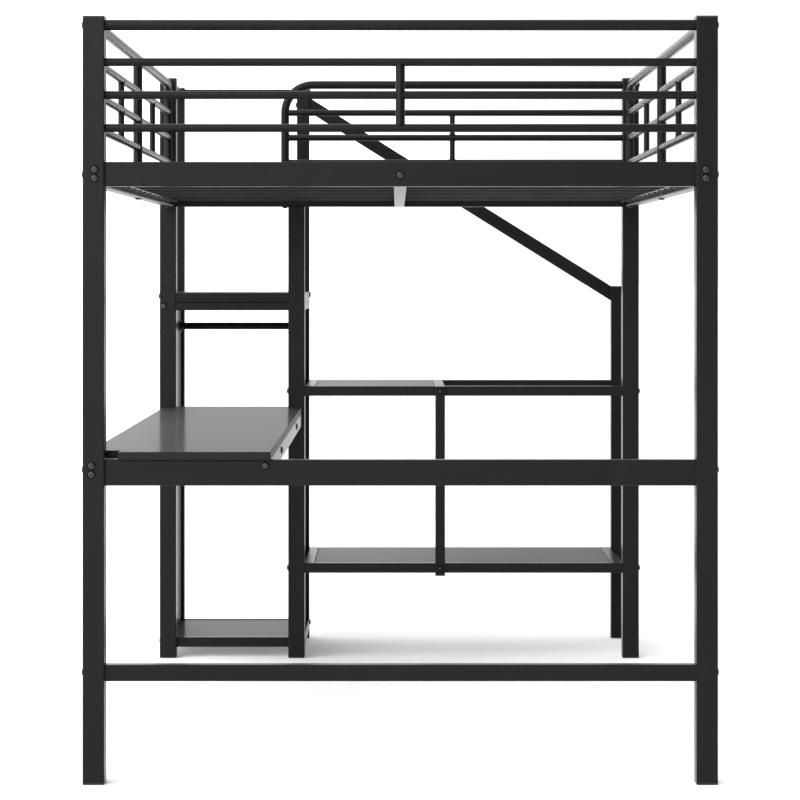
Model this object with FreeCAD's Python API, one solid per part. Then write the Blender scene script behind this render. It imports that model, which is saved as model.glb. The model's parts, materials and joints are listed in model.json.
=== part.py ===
import FreeCAD, Part
import math
import os

# Loft bed of bolted steel tube, with a long desk under its left side, and a
# stair unit with a wardrobe behind its head end. Units are millimetres.
# X runs across the bed, Y along it from the foot end to the stair unit, Z up.
# The origin is on the floor, in the middle of the whole object's outline.

Vector = FreeCAD.Vector
X, Y, Z = 0, 1, 2

# ---------------------------------------------------------------- overall
BED_WIDTH = 1470.0
BED_LENGTH = 1980.0
HEIGHT = 1780.0
STAIR_DEPTH = 413.0
TOWER_WIDTH = 444.0
STAIR_RIGHT_INSET = 10.0

# ---------------------------------------------------------------- tube stock
POST = 50.0
STAIR_POST = 40.0
TUBE_WALL = 1.2
TUBE_RADIUS = 2.5
END_PLATE = 8.0
BED_RAIL_HEIGHT = 57.0
DESK_RAIL_HEIGHT = 60.0
RAIL_WIDTH = 30.0
BOTTOM_BAR_HEIGHT = 38.0
HOOP_DIAMETER = 25.0
ROD_DIAMETER = 19.0
SLEEVE_DIAMETER = 22.0
THIN_ROD_DIAMETER = 16.0
ROUND_WALL = 1.0
STEP_TUBE = 30.0
FIT_GAP = 0.3
PIECE_GAP = 1.0

# ---------------------------------------------------------------- levels
BED_RAIL_TOP = 1442.0
DESK_RAIL_TOP = 751.5
BOTTOM_BAR_TOP = 276.5
TOP_TUBE_DROP = 20.0
FIRST_ROD_DROP = 86.0
ROD_PITCH = 76.5
ROD_COUNT = 3
LANDING_TOP = 1121.0
THIRD_STEP_TOP = 834.5
SECOND_STEP_TOP = 563.0
FIRST_STEP_TOP = 291.5
STAIR_REAR_POST_TOP = 1139.0
WARDROBE_FLOOR_TOP = 60.0
HANGING_ROD_HEIGHT = 1011.0

# ---------------------------------------------------------------- bed deck
BED_RAIL_INSET = 28.0
SLAT_COUNT = 14
SLAT_WIDTH = 30.0
SLAT_HEIGHT = 20.0
SLAT_WALL = 0.8
SLAT_DROP = 20.0
SLAT_PEG = 15.0
BEAM_BOLT_DROP = 11.0
LEDGE_WIDTH = 20.0
LEDGE_THICKNESS = 2.0

# ---------------------------------------------------------------- guards
GUARD_BEND_RADIUS = 60.0
REAR_GUARD_BEND_RADIUS = 85.0
THIN_ROD_OFFSET = 414.0
REAR_GUARD_LEG_GAP = 10.5
REAR_THIN_ROD_OFFSET = 514.5
ROD_SOCKET = 10.0
COPE = 6.0

# ---------------------------------------------------------------- desk
DESK_BOARD_THICKNESS = 19.0
DESK_BOARD_LEFT_INSET = 13.0
DESK_BOARD_RIGHT_INSET = 9.0
DESK_BOARD_REAR_INSET = 15.0
DESK_NOTCH_WIDTH = 32.0
DESK_BEARER_WIDTH = 25.0
DESK_BEARER_HEIGHT = 40.0
DESK_LEFT_BEARER_HEIGHT = 50.0
DESK_LEFT_BEARER_INSET = 21.0
DESK_CROSS_BAR_HEIGHT = 30.0
DESK_FRONT_CROSS_BAR_INSET = 545.0
DESK_REAR_CROSS_BAR_INSET = 468.0

# ---------------------------------------------------------------- stair unit
STEP_BOARD_THICKNESS = 15.0
LEFT_SHELF_WIDTH = 401.0
SHELF_POST_DEPTH = 15.0
SHELF_POST_FOOT = 254.0
SECOND_STEP_WIDTH = 270.0
PANEL_THICKNESS = 20.0
PANEL_LEFT_INSET = 11.0
PANEL_RIGHT_INSET = 10.0
WARDROBE_RAIL_WIDTH = 25.0
WARDROBE_RAIL_HEIGHT = 24.0
WARDROBE_BAR_DEPTH = 20.0
WARDROBE_BOARD_DROP = 1.0
HANGING_ROD_DIAMETER = 22.0
HANGING_ROD_REAR_GAP = 53.0
CUP_DIAMETER = 44.0
CUP_FLANGE = 3.0
CUP_COLLAR = 14.0
CUP_WALL = 3.0
TOWER_BAR = 25.0
TOWER_BAR_DROP = 5.0
HANDRAIL_WIDTH = 40.0
HANDRAIL_THICKNESS = 20.0
HANDRAIL_TOP_DROP = 31.0
SPIGOT_LENGTH = 25.0

# ---------------------------------------------------------------- caps
CAP_THICKNESS = 4.0
CAP_PLUG = 20.0

# ---------------------------------------------------------------- fasteners
BOLT_DIAMETER = 8.0
BOLT_HEAD_DIAMETER = 16.5
BOLT_HEAD_HEIGHT = 4.6
BOLT_HEAD_RIM = 1.2
BOLT_SOCKET = 5.0
BOLT_SPACING = 20.0
BOLT_STAGGER = 5.0
BOLT_OVERRUN = 1.0
CROWN_SHARE = 0.45
SHOULDER_SHARE = 0.7
SOCKET_DEPTH_SHARE = 0.6
BOLT_HOLE_GAP = 0.3
THREAD_GAP = 0.05
DESK_BOLT_DROP = 23.5
SCREW_DIAMETER = 6.0
SCREW_HEAD_DIAMETER = 11.0
SCREW_HEAD_HEIGHT = 3.2
SCREW_HEAD_RIM = 0.8
SCREW_SOCKET = 3.5
SCREW_BITE = 10.0
WOOD_SCREW_DIAMETER = 4.0
WOOD_SCREW_HEAD_DIAMETER = 8.0
WOOD_SCREW_HEAD_HEIGHT = 2.4
WOOD_SCREW_HEAD_RIM = 0.6
WOOD_SCREW_SOCKET = 2.5
WOOD_SCREW_BITE = 10.0
DOWEL_DIAMETER = 8.0
DOWEL_LENGTH = 30.0
DOWEL_INSET = 60.0

# ---------------------------------------------------------------- planes
LEFT = -BED_WIDTH / 2
RIGHT = BED_WIDTH / 2
FRONT = -(BED_LENGTH + STAIR_DEPTH) / 2
REAR = -FRONT
HEAD = FRONT + BED_LENGTH
POST_LEFT = LEFT + POST
POST_RIGHT = RIGHT - POST
FRONT_MID = FRONT + POST / 2
HEAD_MID = HEAD - POST / 2
HEAD_FACE = HEAD - POST
STAIR_FACE = REAR - STAIR_POST
STAIR_MID = REAR - STAIR_POST / 2
TOWER_RIGHT = LEFT + TOWER_WIDTH
TOWER_POST_LEFT = TOWER_RIGHT - POST
STAIR_RIGHT = RIGHT - STAIR_RIGHT_INSET
STAIR_POST_RIGHT = STAIR_RIGHT - STAIR_POST
SHELF_POST_LEFT = TOWER_RIGHT + LEFT_SHELF_WIDTH
SHELF_POST_RIGHT = SHELF_POST_LEFT + STEP_TUBE
STEP_FRONT_MID = HEAD_FACE + STEP_TUBE / 2
TOP_TUBE_Z = HEIGHT - TOP_TUBE_DROP
ROD_LEVELS = [TOP_TUBE_Z - FIRST_ROD_DROP - n * ROD_PITCH for n in range(ROD_COUNT)]
BED_RAIL_BOTTOM = BED_RAIL_TOP - BED_RAIL_HEIGHT
BED_RAIL_MID = BED_RAIL_TOP - BED_RAIL_HEIGHT / 2
DECK_TOP = BED_RAIL_TOP - SLAT_DROP
DECK_BOTTOM = DECK_TOP - SLAT_HEIGHT
BED_RAIL_X = RIGHT - BED_RAIL_INSET
DESK_BOLT_Z = DESK_RAIL_TOP - DESK_BOLT_DROP

parts = {}
fasteners = {}
cutters = []


# ---------------------------------------------------------------- tube shapes
def rounded_box(low, high, axis, radius):
    """A box between two corners, with the four edges along one axis rounded."""
    size = [high[i] - low[i] for i in range(3)]
    solid = Part.makeBox(size[X], size[Y], size[Z], Vector(*low))
    if radius <= 0:
        return solid
    along = []
    for edge in solid.Edges:
        run = edge.Vertexes[1].Point.sub(edge.Vertexes[0].Point)
        if abs(run[axis]) > run.Length / 2:
            along.append(edge)
    return solid.makeFillet(radius, along)


def tube(axis, low, high, start_plate=END_PLATE, end_plate=END_PLATE, wall=TUBE_WALL):
    """A rectangular tube; a plate of thickness 0 leaves that end open."""
    outer = rounded_box(low, high, axis, TUBE_RADIUS)
    inner_low = [value + wall for value in low]
    inner_high = [value - wall for value in high]
    inner_low[axis] = low[axis] + (start_plate or -1)
    inner_high[axis] = high[axis] - (end_plate or -1)
    inner = rounded_box(inner_low, inner_high, axis, TUBE_RADIUS - wall)
    return outer.cut(inner)


def cylinder(start, end, diameter):
    run = Vector(*end).sub(Vector(*start))
    return Part.makeCylinder(diameter / 2, run.Length, Vector(*start), run)


def round_tube(start, end, diameter, plug=0.0):
    """A round tube; its ends are plugged to the depth given, or open."""
    run = Vector(*end).sub(Vector(*start)).normalize()
    inset = plug or -1
    inner_start = Vector(*start).add(run * inset)
    inner_end = Vector(*end).sub(run * inset)
    inner = cylinder(inner_start, inner_end, diameter - 2 * ROUND_WALL)
    return cylinder(start, end, diameter).cut(inner)


def bent_path(points, radius):
    """A wire through the points, with an arc of the same radius at each corner."""
    edges = []
    at = points[0]
    for corner, after in zip(points[1:-1], points[2:]):
        back = at.sub(corner).normalize()
        ahead = after.sub(corner).normalize()
        half_turn = (math.pi - back.getAngle(ahead)) / 2
        trim = radius * math.tan(half_turn)
        start = corner.add(back * trim)
        end = corner.add(ahead * trim)
        inward = back.add(ahead).normalize()
        middle = corner.add(inward * (radius / math.cos(half_turn) - radius))
        edges.append(Part.LineSegment(at, start).toShape())
        edges.append(Part.Arc(start, middle, end).toShape())
        at = end
    edges.append(Part.LineSegment(at, points[-1]).toShape())
    return Part.Wire(edges)


def swept(points, radius, diameter):
    path = bent_path(points, radius)
    run = points[1].sub(points[0])
    ring = Part.Wire(Part.makeCircle(diameter / 2, points[0], run))
    return path.makePipeShell([ring], True, True)


def bent_tube(points, radius, diameter, plug):
    """A round tube bent at its corners, solid for a plug's depth at both ends."""
    start_run = points[1].sub(points[0]).normalize()
    end_run = points[-2].sub(points[-1]).normalize()
    inner_points = [points[0].add(start_run * plug)] + points[1:-1] + [points[-1].add(end_run * plug)]
    outer = swept(points, radius, diameter)
    inner = swept(inner_points, radius, diameter - 2 * ROUND_WALL)
    return outer.cut(inner)


def add(node, *solids):
    parts.setdefault(node, []).extend(solids)


# ---------------------------------------------------------------- fasteners
def headed_pin(diameter, length, head_diameter, head_height, rim, socket):
    """A button head above Z 0 with a hexagon socket, and a shank below it."""
    head_radius = head_diameter / 2
    crown = head_radius * CROWN_SHARE
    shoulder = Vector(
        crown + (head_radius - crown) * SHOULDER_SHARE, 0, rim + (head_height - rim) * SHOULDER_SHARE
    )
    profile = [
        Part.LineSegment(Vector(0, 0, 0), Vector(head_radius, 0, 0)).toShape(),
        Part.LineSegment(Vector(head_radius, 0, 0), Vector(head_radius, 0, rim)).toShape(),
        Part.Arc(Vector(head_radius, 0, rim), shoulder, Vector(crown, 0, head_height)).toShape(),
        Part.LineSegment(Vector(crown, 0, head_height), Vector(0, 0, head_height)).toShape(),
        Part.LineSegment(Vector(0, 0, head_height), Vector(0, 0, 0)).toShape(),
    ]
    face = Part.Face(Part.Wire(profile))
    head = face.revolve(Vector(0, 0, 0), Vector(0, 0, 1), 360)
    across = socket / math.sqrt(3)
    turn = math.pi / 3
    depth = head_height * SOCKET_DEPTH_SHARE
    corners = [
        Vector(across * math.cos(n * turn), across * math.sin(n * turn), head_height - depth)
        for n in range(7)
    ]
    hexagon = Part.Face(Part.makePolygon(corners)).extrude(Vector(0, 0, depth + 1))
    shank = Part.makeCylinder(diameter / 2, length, Vector(0, 0, -length))
    return head.cut(hexagon).fuse(shank).removeSplitter()


def fix(group, solid, at, direction, diameter, grip, length):
    """Places a fastener and remembers the holes that it needs in what it passes."""
    direction = Vector(*direction)
    placed = solid.copy()
    placed.Placement = FreeCAD.Placement(Vector(*at), FreeCAD.Rotation(Vector(0, 0, -1), direction))
    fasteners.setdefault(group, []).append(placed)
    start = Vector(*at)
    if grip > 0:
        grip_end = start.add(direction * grip)
        cutters.append(cylinder(start.sub(direction), grip_end, diameter + 2 * BOLT_HOLE_GAP))
    deepest = start.add(direction * (length + FIT_GAP))
    cutters.append(cylinder(start.sub(direction), deepest, diameter + 2 * THREAD_GAP))


def bolt(group, at, direction, grip):
    """A bolt through its grip and into an end plate behind it."""
    length = grip + END_PLATE + BOLT_OVERRUN
    solid = headed_pin(
        BOLT_DIAMETER, length, BOLT_HEAD_DIAMETER, BOLT_HEAD_HEIGHT, BOLT_HEAD_RIM, BOLT_SOCKET
    )
    fix(group, solid, at, direction, BOLT_DIAMETER, grip, length)


def wood_screw(at, direction, grip):
    length = grip + WOOD_SCREW_BITE
    solid = headed_pin(
        WOOD_SCREW_DIAMETER, length, WOOD_SCREW_HEAD_DIAMETER, WOOD_SCREW_HEAD_HEIGHT,
        WOOD_SCREW_HEAD_RIM, WOOD_SCREW_SOCKET
    )
    fix("board_screws", solid, at, direction, WOOD_SCREW_DIAMETER, grip, length)


def spigot(axis, face, side, centre, width, height):
    """A square peg on a post's face, which carries the open end of a tube."""
    inset = TUBE_WALL + FIT_GAP
    across = [i for i in range(3) if i != axis]
    low, high = [0.0] * 3, [0.0] * 3
    low[axis] = min(face, face + side * SPIGOT_LENGTH)
    high[axis] = max(face, face + side * SPIGOT_LENGTH)
    for i, size in zip(across, (width, height)):
        middle = centre[across.index(i)]
        low[i] = middle - size / 2 + inset
        high[i] = middle + size / 2 - inset
    add("tower_spigots", rounded_box(low, high, axis, TUBE_RADIUS - TUBE_WALL))


# ---------------------------------------------------------------- posts
def rod_ends():
    """The front and rear rods' ends, which sit in holes in the posts' inner walls."""
    holes = []
    for level in ROD_LEVELS:
        for y, sides in ((FRONT_MID, (-1, 1)), (HEAD_MID, (1,))):
            for side in sides:
                face = side * (RIGHT - POST)
                start = (face - side, y, level)
                end = (face + side * (ROD_SOCKET + 1), y, level)
                holes.append(cylinder(start, end, ROD_DIAMETER + 2 * FIT_GAP))
    return holes


def cap(x, y, size, surface, up):
    """A plastic end cap: a flange on the tube's end and a plug inside it."""
    inset = TUBE_WALL + FIT_GAP
    flange_end = surface - up * CAP_THICKNESS
    plug_end = flange_end - up * CAP_PLUG
    flange = rounded_box(
        (x, y, min(surface, flange_end)), (x + size, y + size, max(surface, flange_end)), Z, TUBE_RADIUS
    )
    plug = rounded_box(
        (x + inset, y + inset, min(flange_end, plug_end)),
        (x + size - inset, y + size - inset, max(flange_end, plug_end)), Z, TUBE_RADIUS - TUBE_WALL
    )
    return flange.fuse(plug)


def make_posts():
    places = (
        ("front_left_post", LEFT, FRONT, POST, HEIGHT),
        ("front_right_post", POST_RIGHT, FRONT, POST, HEIGHT),
        ("rear_left_post", LEFT, HEAD_FACE, POST, HEIGHT),
        ("rear_right_post", POST_RIGHT, HEAD_FACE, POST, HEIGHT),
        ("tower_middle_post", TOWER_POST_LEFT, HEAD_FACE, POST, BED_RAIL_BOTTOM),
        ("tower_rear_left_post", LEFT, STAIR_FACE, STAIR_POST, HEIGHT),
        ("tower_rear_middle_post", TOWER_RIGHT - STAIR_POST, STAIR_FACE, STAIR_POST, HEIGHT),
        ("stair_rear_post", STAIR_POST_RIGHT, STAIR_FACE, STAIR_POST, STAIR_REAR_POST_TOP),
    )
    sockets = rod_ends()
    for node, x, y, size, top in places:
        capped = node != "tower_middle_post"
        tube_top = top - CAP_THICKNESS if capped else top
        post = tube(Z, (x, y, CAP_THICKNESS), (x + size, y + size, tube_top),
                    start_plate=0, end_plate=0 if capped else END_PLATE)
        add(node, post.cut(sockets))
        add("post_foot_caps", cap(x, y, size, 0.0, -1))
        if capped:
            add("post_top_caps", cap(x, y, size, top, 1))


# ---------------------------------------------------------------- foot end
def make_front():
    low_y = FRONT_MID - RAIL_WIDTH / 2
    high_y = FRONT_MID + RAIL_WIDTH / 2
    bars = (
        ("front_bed_rail", BED_RAIL_TOP, BED_RAIL_HEIGHT),
        ("front_desk_rail", DESK_RAIL_TOP, DESK_RAIL_HEIGHT),
        ("front_bottom_bar", BOTTOM_BAR_TOP, BOTTOM_BAR_HEIGHT),
    )
    for node, top, height in bars:
        add(node, tube(X, (POST_LEFT, low_y, top - height), (POST_RIGHT, high_y, top)))
    start = (POST_LEFT, FRONT_MID, TOP_TUBE_Z)
    end = (POST_RIGHT, FRONT_MID, TOP_TUBE_Z)
    add("front_top_tube", round_tube(start, end, HOOP_DIAMETER, END_PLATE))
    rods = []
    for level in ROD_LEVELS:
        start = (POST_LEFT - ROD_SOCKET, FRONT_MID, level)
        end = (POST_RIGHT + ROD_SOCKET, FRONT_MID, level)
        add("front_guard_rods", round_tube(start, end, ROD_DIAMETER))
        rods.append(cylinder(start, end, ROD_DIAMETER))
    sleeve = round_tube(
        (0, FRONT_MID, ROD_LEVELS[-1] + COPE), (0, FRONT_MID, ROD_LEVELS[0] - COPE), SLEEVE_DIAMETER
    )
    add("front_guard_rods", sleeve.cut(rods))
    for side in (-1, 1):
        for z in (TOP_TUBE_Z, BED_RAIL_MID, DESK_BOLT_Z, BOTTOM_BAR_TOP - BOTTOM_BAR_HEIGHT / 2):
            bolt("cross_rail_bolts", (side * RIGHT, FRONT_MID, z), (-side, 0, 0), POST)


# ---------------------------------------------------------------- bed deck
def make_bed_rails():
    add("rear_bed_rail", tube(
        X, (POST_LEFT, HEAD_MID - RAIL_WIDTH / 2, BED_RAIL_BOTTOM),
        (POST_RIGHT, HEAD_MID + RAIL_WIDTH / 2, BED_RAIL_TOP)
    ))
    for side in (-1, 1):
        bolt("cross_rail_bolts", (side * RIGHT, HEAD_MID, BED_RAIL_MID), (-side, 0, 0), POST)
    for node, side in (("left_bed_rail", -1), ("right_bed_rail", 1)):
        x = side * BED_RAIL_X
        rail = tube(
            Y, (x - RAIL_WIDTH / 2, FRONT + POST, BED_RAIL_BOTTOM),
            (x + RAIL_WIDTH / 2, HEAD_FACE, BED_RAIL_TOP)
        )
        inner = x - side * RAIL_WIDTH / 2
        tip = inner - side * LEDGE_WIDTH
        web = inner - side * LEDGE_THICKNESS
        shelf = Part.makeBox(
            LEDGE_WIDTH, HEAD_FACE - FRONT - POST, LEDGE_THICKNESS,
            Vector(min(inner, tip), FRONT + POST, DECK_BOTTOM - LEDGE_THICKNESS)
        )
        web_foot = BED_RAIL_BOTTOM + TUBE_RADIUS
        wall = Part.makeBox(
            LEDGE_THICKNESS, HEAD_FACE - FRONT - POST, DECK_BOTTOM - web_foot,
            Vector(min(inner, web), FRONT + POST, web_foot)
        )
        add(node, rail.fuse([shelf, wall]).removeSplitter())
        for rise in (-BOLT_SPACING / 2, BOLT_SPACING / 2):
            bolt("bed_rail_bolts", (x, FRONT, BED_RAIL_MID + rise), (0, 1, 0), POST)
            bolt("bed_rail_bolts", (x, HEAD, BED_RAIL_MID + rise), (0, -1, 0), POST)


def slat_places():
    """The middles of the slats along Y, spread evenly between the front and rear rails."""
    first = FRONT_MID + RAIL_WIDTH / 2
    last = HEAD_MID - RAIL_WIDTH / 2
    pitch = (last - first) / SLAT_COUNT
    return [first + (n + 0.5) * pitch for n in range(SLAT_COUNT)]


def make_centre_beam():
    """A tube along the middle, with pegs on both sides that the slats slide onto."""
    start = FRONT_MID + RAIL_WIDTH / 2
    end = HEAD_MID - RAIL_WIDTH / 2
    half = RAIL_WIDTH / 2
    beam = tube(Y, (-half, start, BED_RAIL_BOTTOM), (half, end, DECK_TOP))
    inset = SLAT_WALL + FIT_GAP
    pegs = []
    for y in slat_places():
        for side in (-1, 1):
            tip = side * (half + SLAT_PEG)
            pegs.append(rounded_box(
                (min(tip, 0), y - SLAT_WIDTH / 2 + inset, DECK_BOTTOM + inset),
                (max(tip, 0), y + SLAT_WIDTH / 2 - inset, DECK_TOP - inset), X, TUBE_RADIUS - SLAT_WALL
            ))
    add("centre_beam", beam.fuse(pegs).removeSplitter())
    z = DECK_TOP - BEAM_BOLT_DROP
    front = FRONT_MID - RAIL_WIDTH / 2
    rear = HEAD_MID + RAIL_WIDTH / 2
    bolt("bed_rail_bolts", (0, front, z), (0, 1, 0), RAIL_WIDTH)
    bolt("bed_rail_bolts", (0, rear, z), (0, -1, 0), RAIL_WIDTH)


def make_slats():
    """Slats from each side rail's ledge to the centre beam's pegs."""
    outer = BED_RAIL_X - RAIL_WIDTH / 2 - PIECE_GAP
    inner = RAIL_WIDTH / 2 + PIECE_GAP
    length = LEDGE_THICKNESS + SCREW_BITE
    screw = headed_pin(
        SCREW_DIAMETER, length, SCREW_HEAD_DIAMETER, SCREW_HEAD_HEIGHT, SCREW_HEAD_RIM, SCREW_SOCKET
    )
    for node, side in (("left_slats", -1), ("right_slats", 1)):
        low_x = min(side * inner, side * outer)
        high_x = max(side * inner, side * outer)
        screw_x = side * (outer - LEDGE_WIDTH / 2)
        for y in slat_places():
            add(node, tube(
                X, (low_x, y - SLAT_WIDTH / 2, DECK_BOTTOM), (high_x, y + SLAT_WIDTH / 2, DECK_TOP),
                start_plate=0, end_plate=0, wall=SLAT_WALL
            ))
            fix("slat_screws", screw, (screw_x, y, DECK_BOTTOM - LEDGE_THICKNESS), (0, 0, 1),
                SCREW_DIAMETER, LEDGE_THICKNESS, length)


# ---------------------------------------------------------------- guards
def coped_rods(node, segments, envelopes):
    """Rods whose ends are shaped to the tubes that they are welded to."""
    for start, end, diameter in segments:
        add(node, round_tube(start, end, diameter).cut(envelopes))


def thin_rods(node, places):
    """Short uprights, in two lengths, between the first, second and third rods."""
    for x, y, along_x in places:
        for upper, lower in zip(ROD_LEVELS[:-1], ROD_LEVELS[1:]):
            reach = (1, 0) if along_x else (0, 1)
            blocks = []
            for level in (upper, lower):
                start = (x - THIN_ROD_DIAMETER * reach[0], y - THIN_ROD_DIAMETER * reach[1], level)
                end = (x + THIN_ROD_DIAMETER * reach[0], y + THIN_ROD_DIAMETER * reach[1], level)
                blocks.append(cylinder(start, end, ROD_DIAMETER))
            upright = round_tube((x, y, lower + COPE), (x, y, upper - COPE), THIN_ROD_DIAMETER)
            add(node, upright.cut(blocks))


def make_side_guards():
    half = HOOP_DIAMETER / 2
    start_y = FRONT + POST + PIECE_GAP + half
    end_y = HEAD_FACE - PIECE_GAP - half
    middle_y = (start_y + end_y) / 2
    for name, side in (("left_guard", -1), ("right_guard", 1)):
        x = side * BED_RAIL_X
        corners = [
            Vector(x, start_y, BED_RAIL_TOP), Vector(x, start_y, TOP_TUBE_Z),
            Vector(x, end_y, TOP_TUBE_Z), Vector(x, end_y, BED_RAIL_TOP)
        ]
        add(name + "_hoop", bent_tube(corners, GUARD_BEND_RADIUS, HOOP_DIAMETER, END_PLATE))
        node = name + "_rods"
        top = cylinder((x, start_y + GUARD_BEND_RADIUS, TOP_TUBE_Z),
                       (x, end_y - GUARD_BEND_RADIUS, TOP_TUBE_Z), HOOP_DIAMETER)
        foot = Vector(x, middle_y, BED_RAIL_TOP)
        upright = round_tube(foot, (x, middle_y, TOP_TUBE_Z - COPE), HOOP_DIAMETER, END_PLATE)
        add(node, upright.cut(top))
        legs = [
            cylinder((x, y, BED_RAIL_TOP), (x, y, TOP_TUBE_Z - GUARD_BEND_RADIUS), HOOP_DIAMETER)
            for y in (start_y, middle_y, end_y)
        ]
        segments = []
        for level in ROD_LEVELS:
            segments.append(((x, start_y + COPE, level), (x, middle_y - COPE, level), ROD_DIAMETER))
            segments.append(((x, middle_y + COPE, level), (x, end_y - COPE, level), ROD_DIAMETER))
        coped_rods(node, segments, legs)
        thin_rods(node, [(x, middle_y + step, False) for step in (-THIN_ROD_OFFSET, THIN_ROD_OFFSET)])
        for y in (start_y, middle_y, end_y):
            bolt("guard_bolts", (x, y, BED_RAIL_BOTTOM), (0, 0, 1), BED_RAIL_HEIGHT)


def make_rear_guard():
    leg_x = TOWER_POST_LEFT - REAR_GUARD_LEG_GAP
    corners = [
        Vector(leg_x, HEAD_MID, BED_RAIL_TOP), Vector(leg_x, HEAD_MID, TOP_TUBE_Z),
        Vector(POST_RIGHT, HEAD_MID, TOP_TUBE_Z)
    ]
    add("rear_guard_hoop", bent_tube(corners, REAR_GUARD_BEND_RADIUS, HOOP_DIAMETER, END_PLATE))
    arc_centre = (leg_x + REAR_GUARD_BEND_RADIUS, HEAD_MID, TOP_TUBE_Z - REAR_GUARD_BEND_RADIUS)
    leg = cylinder((leg_x, HEAD_MID, BED_RAIL_TOP), (leg_x, HEAD_MID, arc_centre[Z]), HOOP_DIAMETER)
    segments = [
        ((leg_x + COPE, HEAD_MID, level), (POST_RIGHT + ROD_SOCKET, HEAD_MID, level), ROD_DIAMETER)
        for level in ROD_LEVELS
    ]
    elbow = swept(corners, REAR_GUARD_BEND_RADIUS, HOOP_DIAMETER)
    coped_rods("rear_guard_rods", segments, [leg, elbow])
    thin_rods("rear_guard_rods", [(leg_x + REAR_THIN_ROD_OFFSET, HEAD_MID, True)])
    bolt("guard_bolts", (leg_x, HEAD_MID, BED_RAIL_BOTTOM), (0, 0, 1), BED_RAIL_HEIGHT)
    bolt("guard_bolts", (RIGHT, HEAD_MID, TOP_TUBE_Z), (-1, 0, 0), POST)


# ---------------------------------------------------------------- desk
def make_desk_board():
    left = LEFT + DESK_BOARD_LEFT_INSET
    right = TOWER_RIGHT - DESK_BOARD_RIGHT_INSET
    rear = HEAD - DESK_BOARD_REAR_INSET
    board = Part.makeBox(
        right - left, rear - FRONT, DESK_BOARD_THICKNESS, Vector(left, FRONT, DESK_RAIL_TOP)
    )
    notches = (
        (LEFT, POST_LEFT + DESK_NOTCH_WIDTH, FRONT - 1, FRONT + POST + PIECE_GAP),
        (LEFT, POST_LEFT + PIECE_GAP, HEAD_FACE - PIECE_GAP, HEAD + 1),
        (TOWER_POST_LEFT - PIECE_GAP, TOWER_RIGHT + PIECE_GAP, HEAD_FACE - PIECE_GAP, HEAD + 1),
    )
    for low_x, high_x, low_y, high_y in notches:
        board = board.cut(Part.makeBox(
            high_x - low_x, high_y - low_y, DESK_BOARD_THICKNESS + 2,
            Vector(low_x, low_y, DESK_RAIL_TOP - 1)
        ))
    add("desk_board", board)


def make_desk_frame():
    half = DESK_BEARER_WIDTH / 2
    left_x = LEFT + DESK_LEFT_BEARER_INSET
    right_x = TOWER_RIGHT - DESK_BOARD_RIGHT_INSET - half
    low_z = DESK_RAIL_TOP - DESK_BEARER_HEIGHT
    front = FRONT_MID + RAIL_WIDTH / 2
    add("desk_left_rail", tube(
        Y, (left_x - half, FRONT + POST, DESK_RAIL_TOP - DESK_LEFT_BEARER_HEIGHT),
        (left_x + half, HEAD_FACE, DESK_RAIL_TOP)
    ))
    add("desk_right_rail", tube(
        Y, (right_x - half, front, low_z), (right_x + half, HEAD_FACE, DESK_RAIL_TOP)
    ))
    add("desk_rear_rail", tube(
        X, (POST_LEFT, HEAD_MID - half, low_z), (TOWER_POST_LEFT, HEAD_MID + half, DESK_RAIL_TOP),
        end_plate=0
    ))
    spigot(X, TOWER_POST_LEFT, -1, (HEAD_MID, DESK_RAIL_TOP - DESK_BEARER_HEIGHT / 2),
           DESK_BEARER_WIDTH, DESK_BEARER_HEIGHT)
    bolt("desk_bolts", (LEFT, HEAD_MID, DESK_BOLT_Z), (1, 0, 0), POST)
    high_bolt = DESK_BOLT_Z + BOLT_SPACING / 2
    for z in (DESK_BOLT_Z - BOLT_SPACING / 2, high_bolt):
        bolt("desk_bolts", (left_x, FRONT, z), (0, 1, 0), POST)
        bolt("desk_bolts", (left_x, HEAD, z), (0, -1, 0), POST)
    bolt("desk_bolts", (right_x, FRONT_MID - RAIL_WIDTH / 2, high_bolt), (0, 1, 0), RAIL_WIDTH)
    bolt("desk_bolts", (right_x, HEAD, high_bolt), (0, -1, 0), POST)
    bar_z = DESK_RAIL_TOP - DESK_CROSS_BAR_HEIGHT
    for y in (FRONT + DESK_FRONT_CROSS_BAR_INSET, HEAD - DESK_REAR_CROSS_BAR_INSET):
        add("desk_cross_bars", tube(
            X, (left_x + half, y - half, bar_z), (right_x - half, y + half, DESK_RAIL_TOP)
        ))
        z = DESK_RAIL_TOP - DESK_CROSS_BAR_HEIGHT / 2
        bolt("desk_bolts", (right_x + half, y, z), (-1, 0, 0), DESK_BEARER_WIDTH)
        bolt("desk_bolts", (left_x - half, y, z), (1, 0, 0), DESK_BEARER_WIDTH)
        third = (right_x - left_x) / 3
        for x in (left_x + third, right_x - third):
            wood_screw((x, y, bar_z), (0, 0, 1), DESK_CROSS_BAR_HEIGHT)


# ---------------------------------------------------------------- stair unit
def ledge(low_x, high_x, wall_y, side, top):
    """A flat strip on a bar's face, which carries a board's edge."""
    low_y = min(wall_y, wall_y + side * LEDGE_WIDTH)
    corner = Vector(low_x, low_y, top - LEDGE_THICKNESS)
    return Part.makeBox(high_x - low_x, LEDGE_WIDTH, LEDGE_THICKNESS, corner)


def step_bar(low_x, high_x, middle_y, top, ledge_x, ledge_side, end_plate=END_PLATE):
    """A step's front or rear bar, with a ledge under the board."""
    half = STEP_TUBE / 2
    bar = tube(
        X, (low_x, middle_y - half, top - STEP_TUBE), (high_x, middle_y + half, top), end_plate=end_plate
    )
    strip = ledge(ledge_x[0], ledge_x[1], middle_y + ledge_side * half, ledge_side,
                  top - STEP_BOARD_THICKNESS)
    return bar.fuse(strip).removeSplitter()


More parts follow.
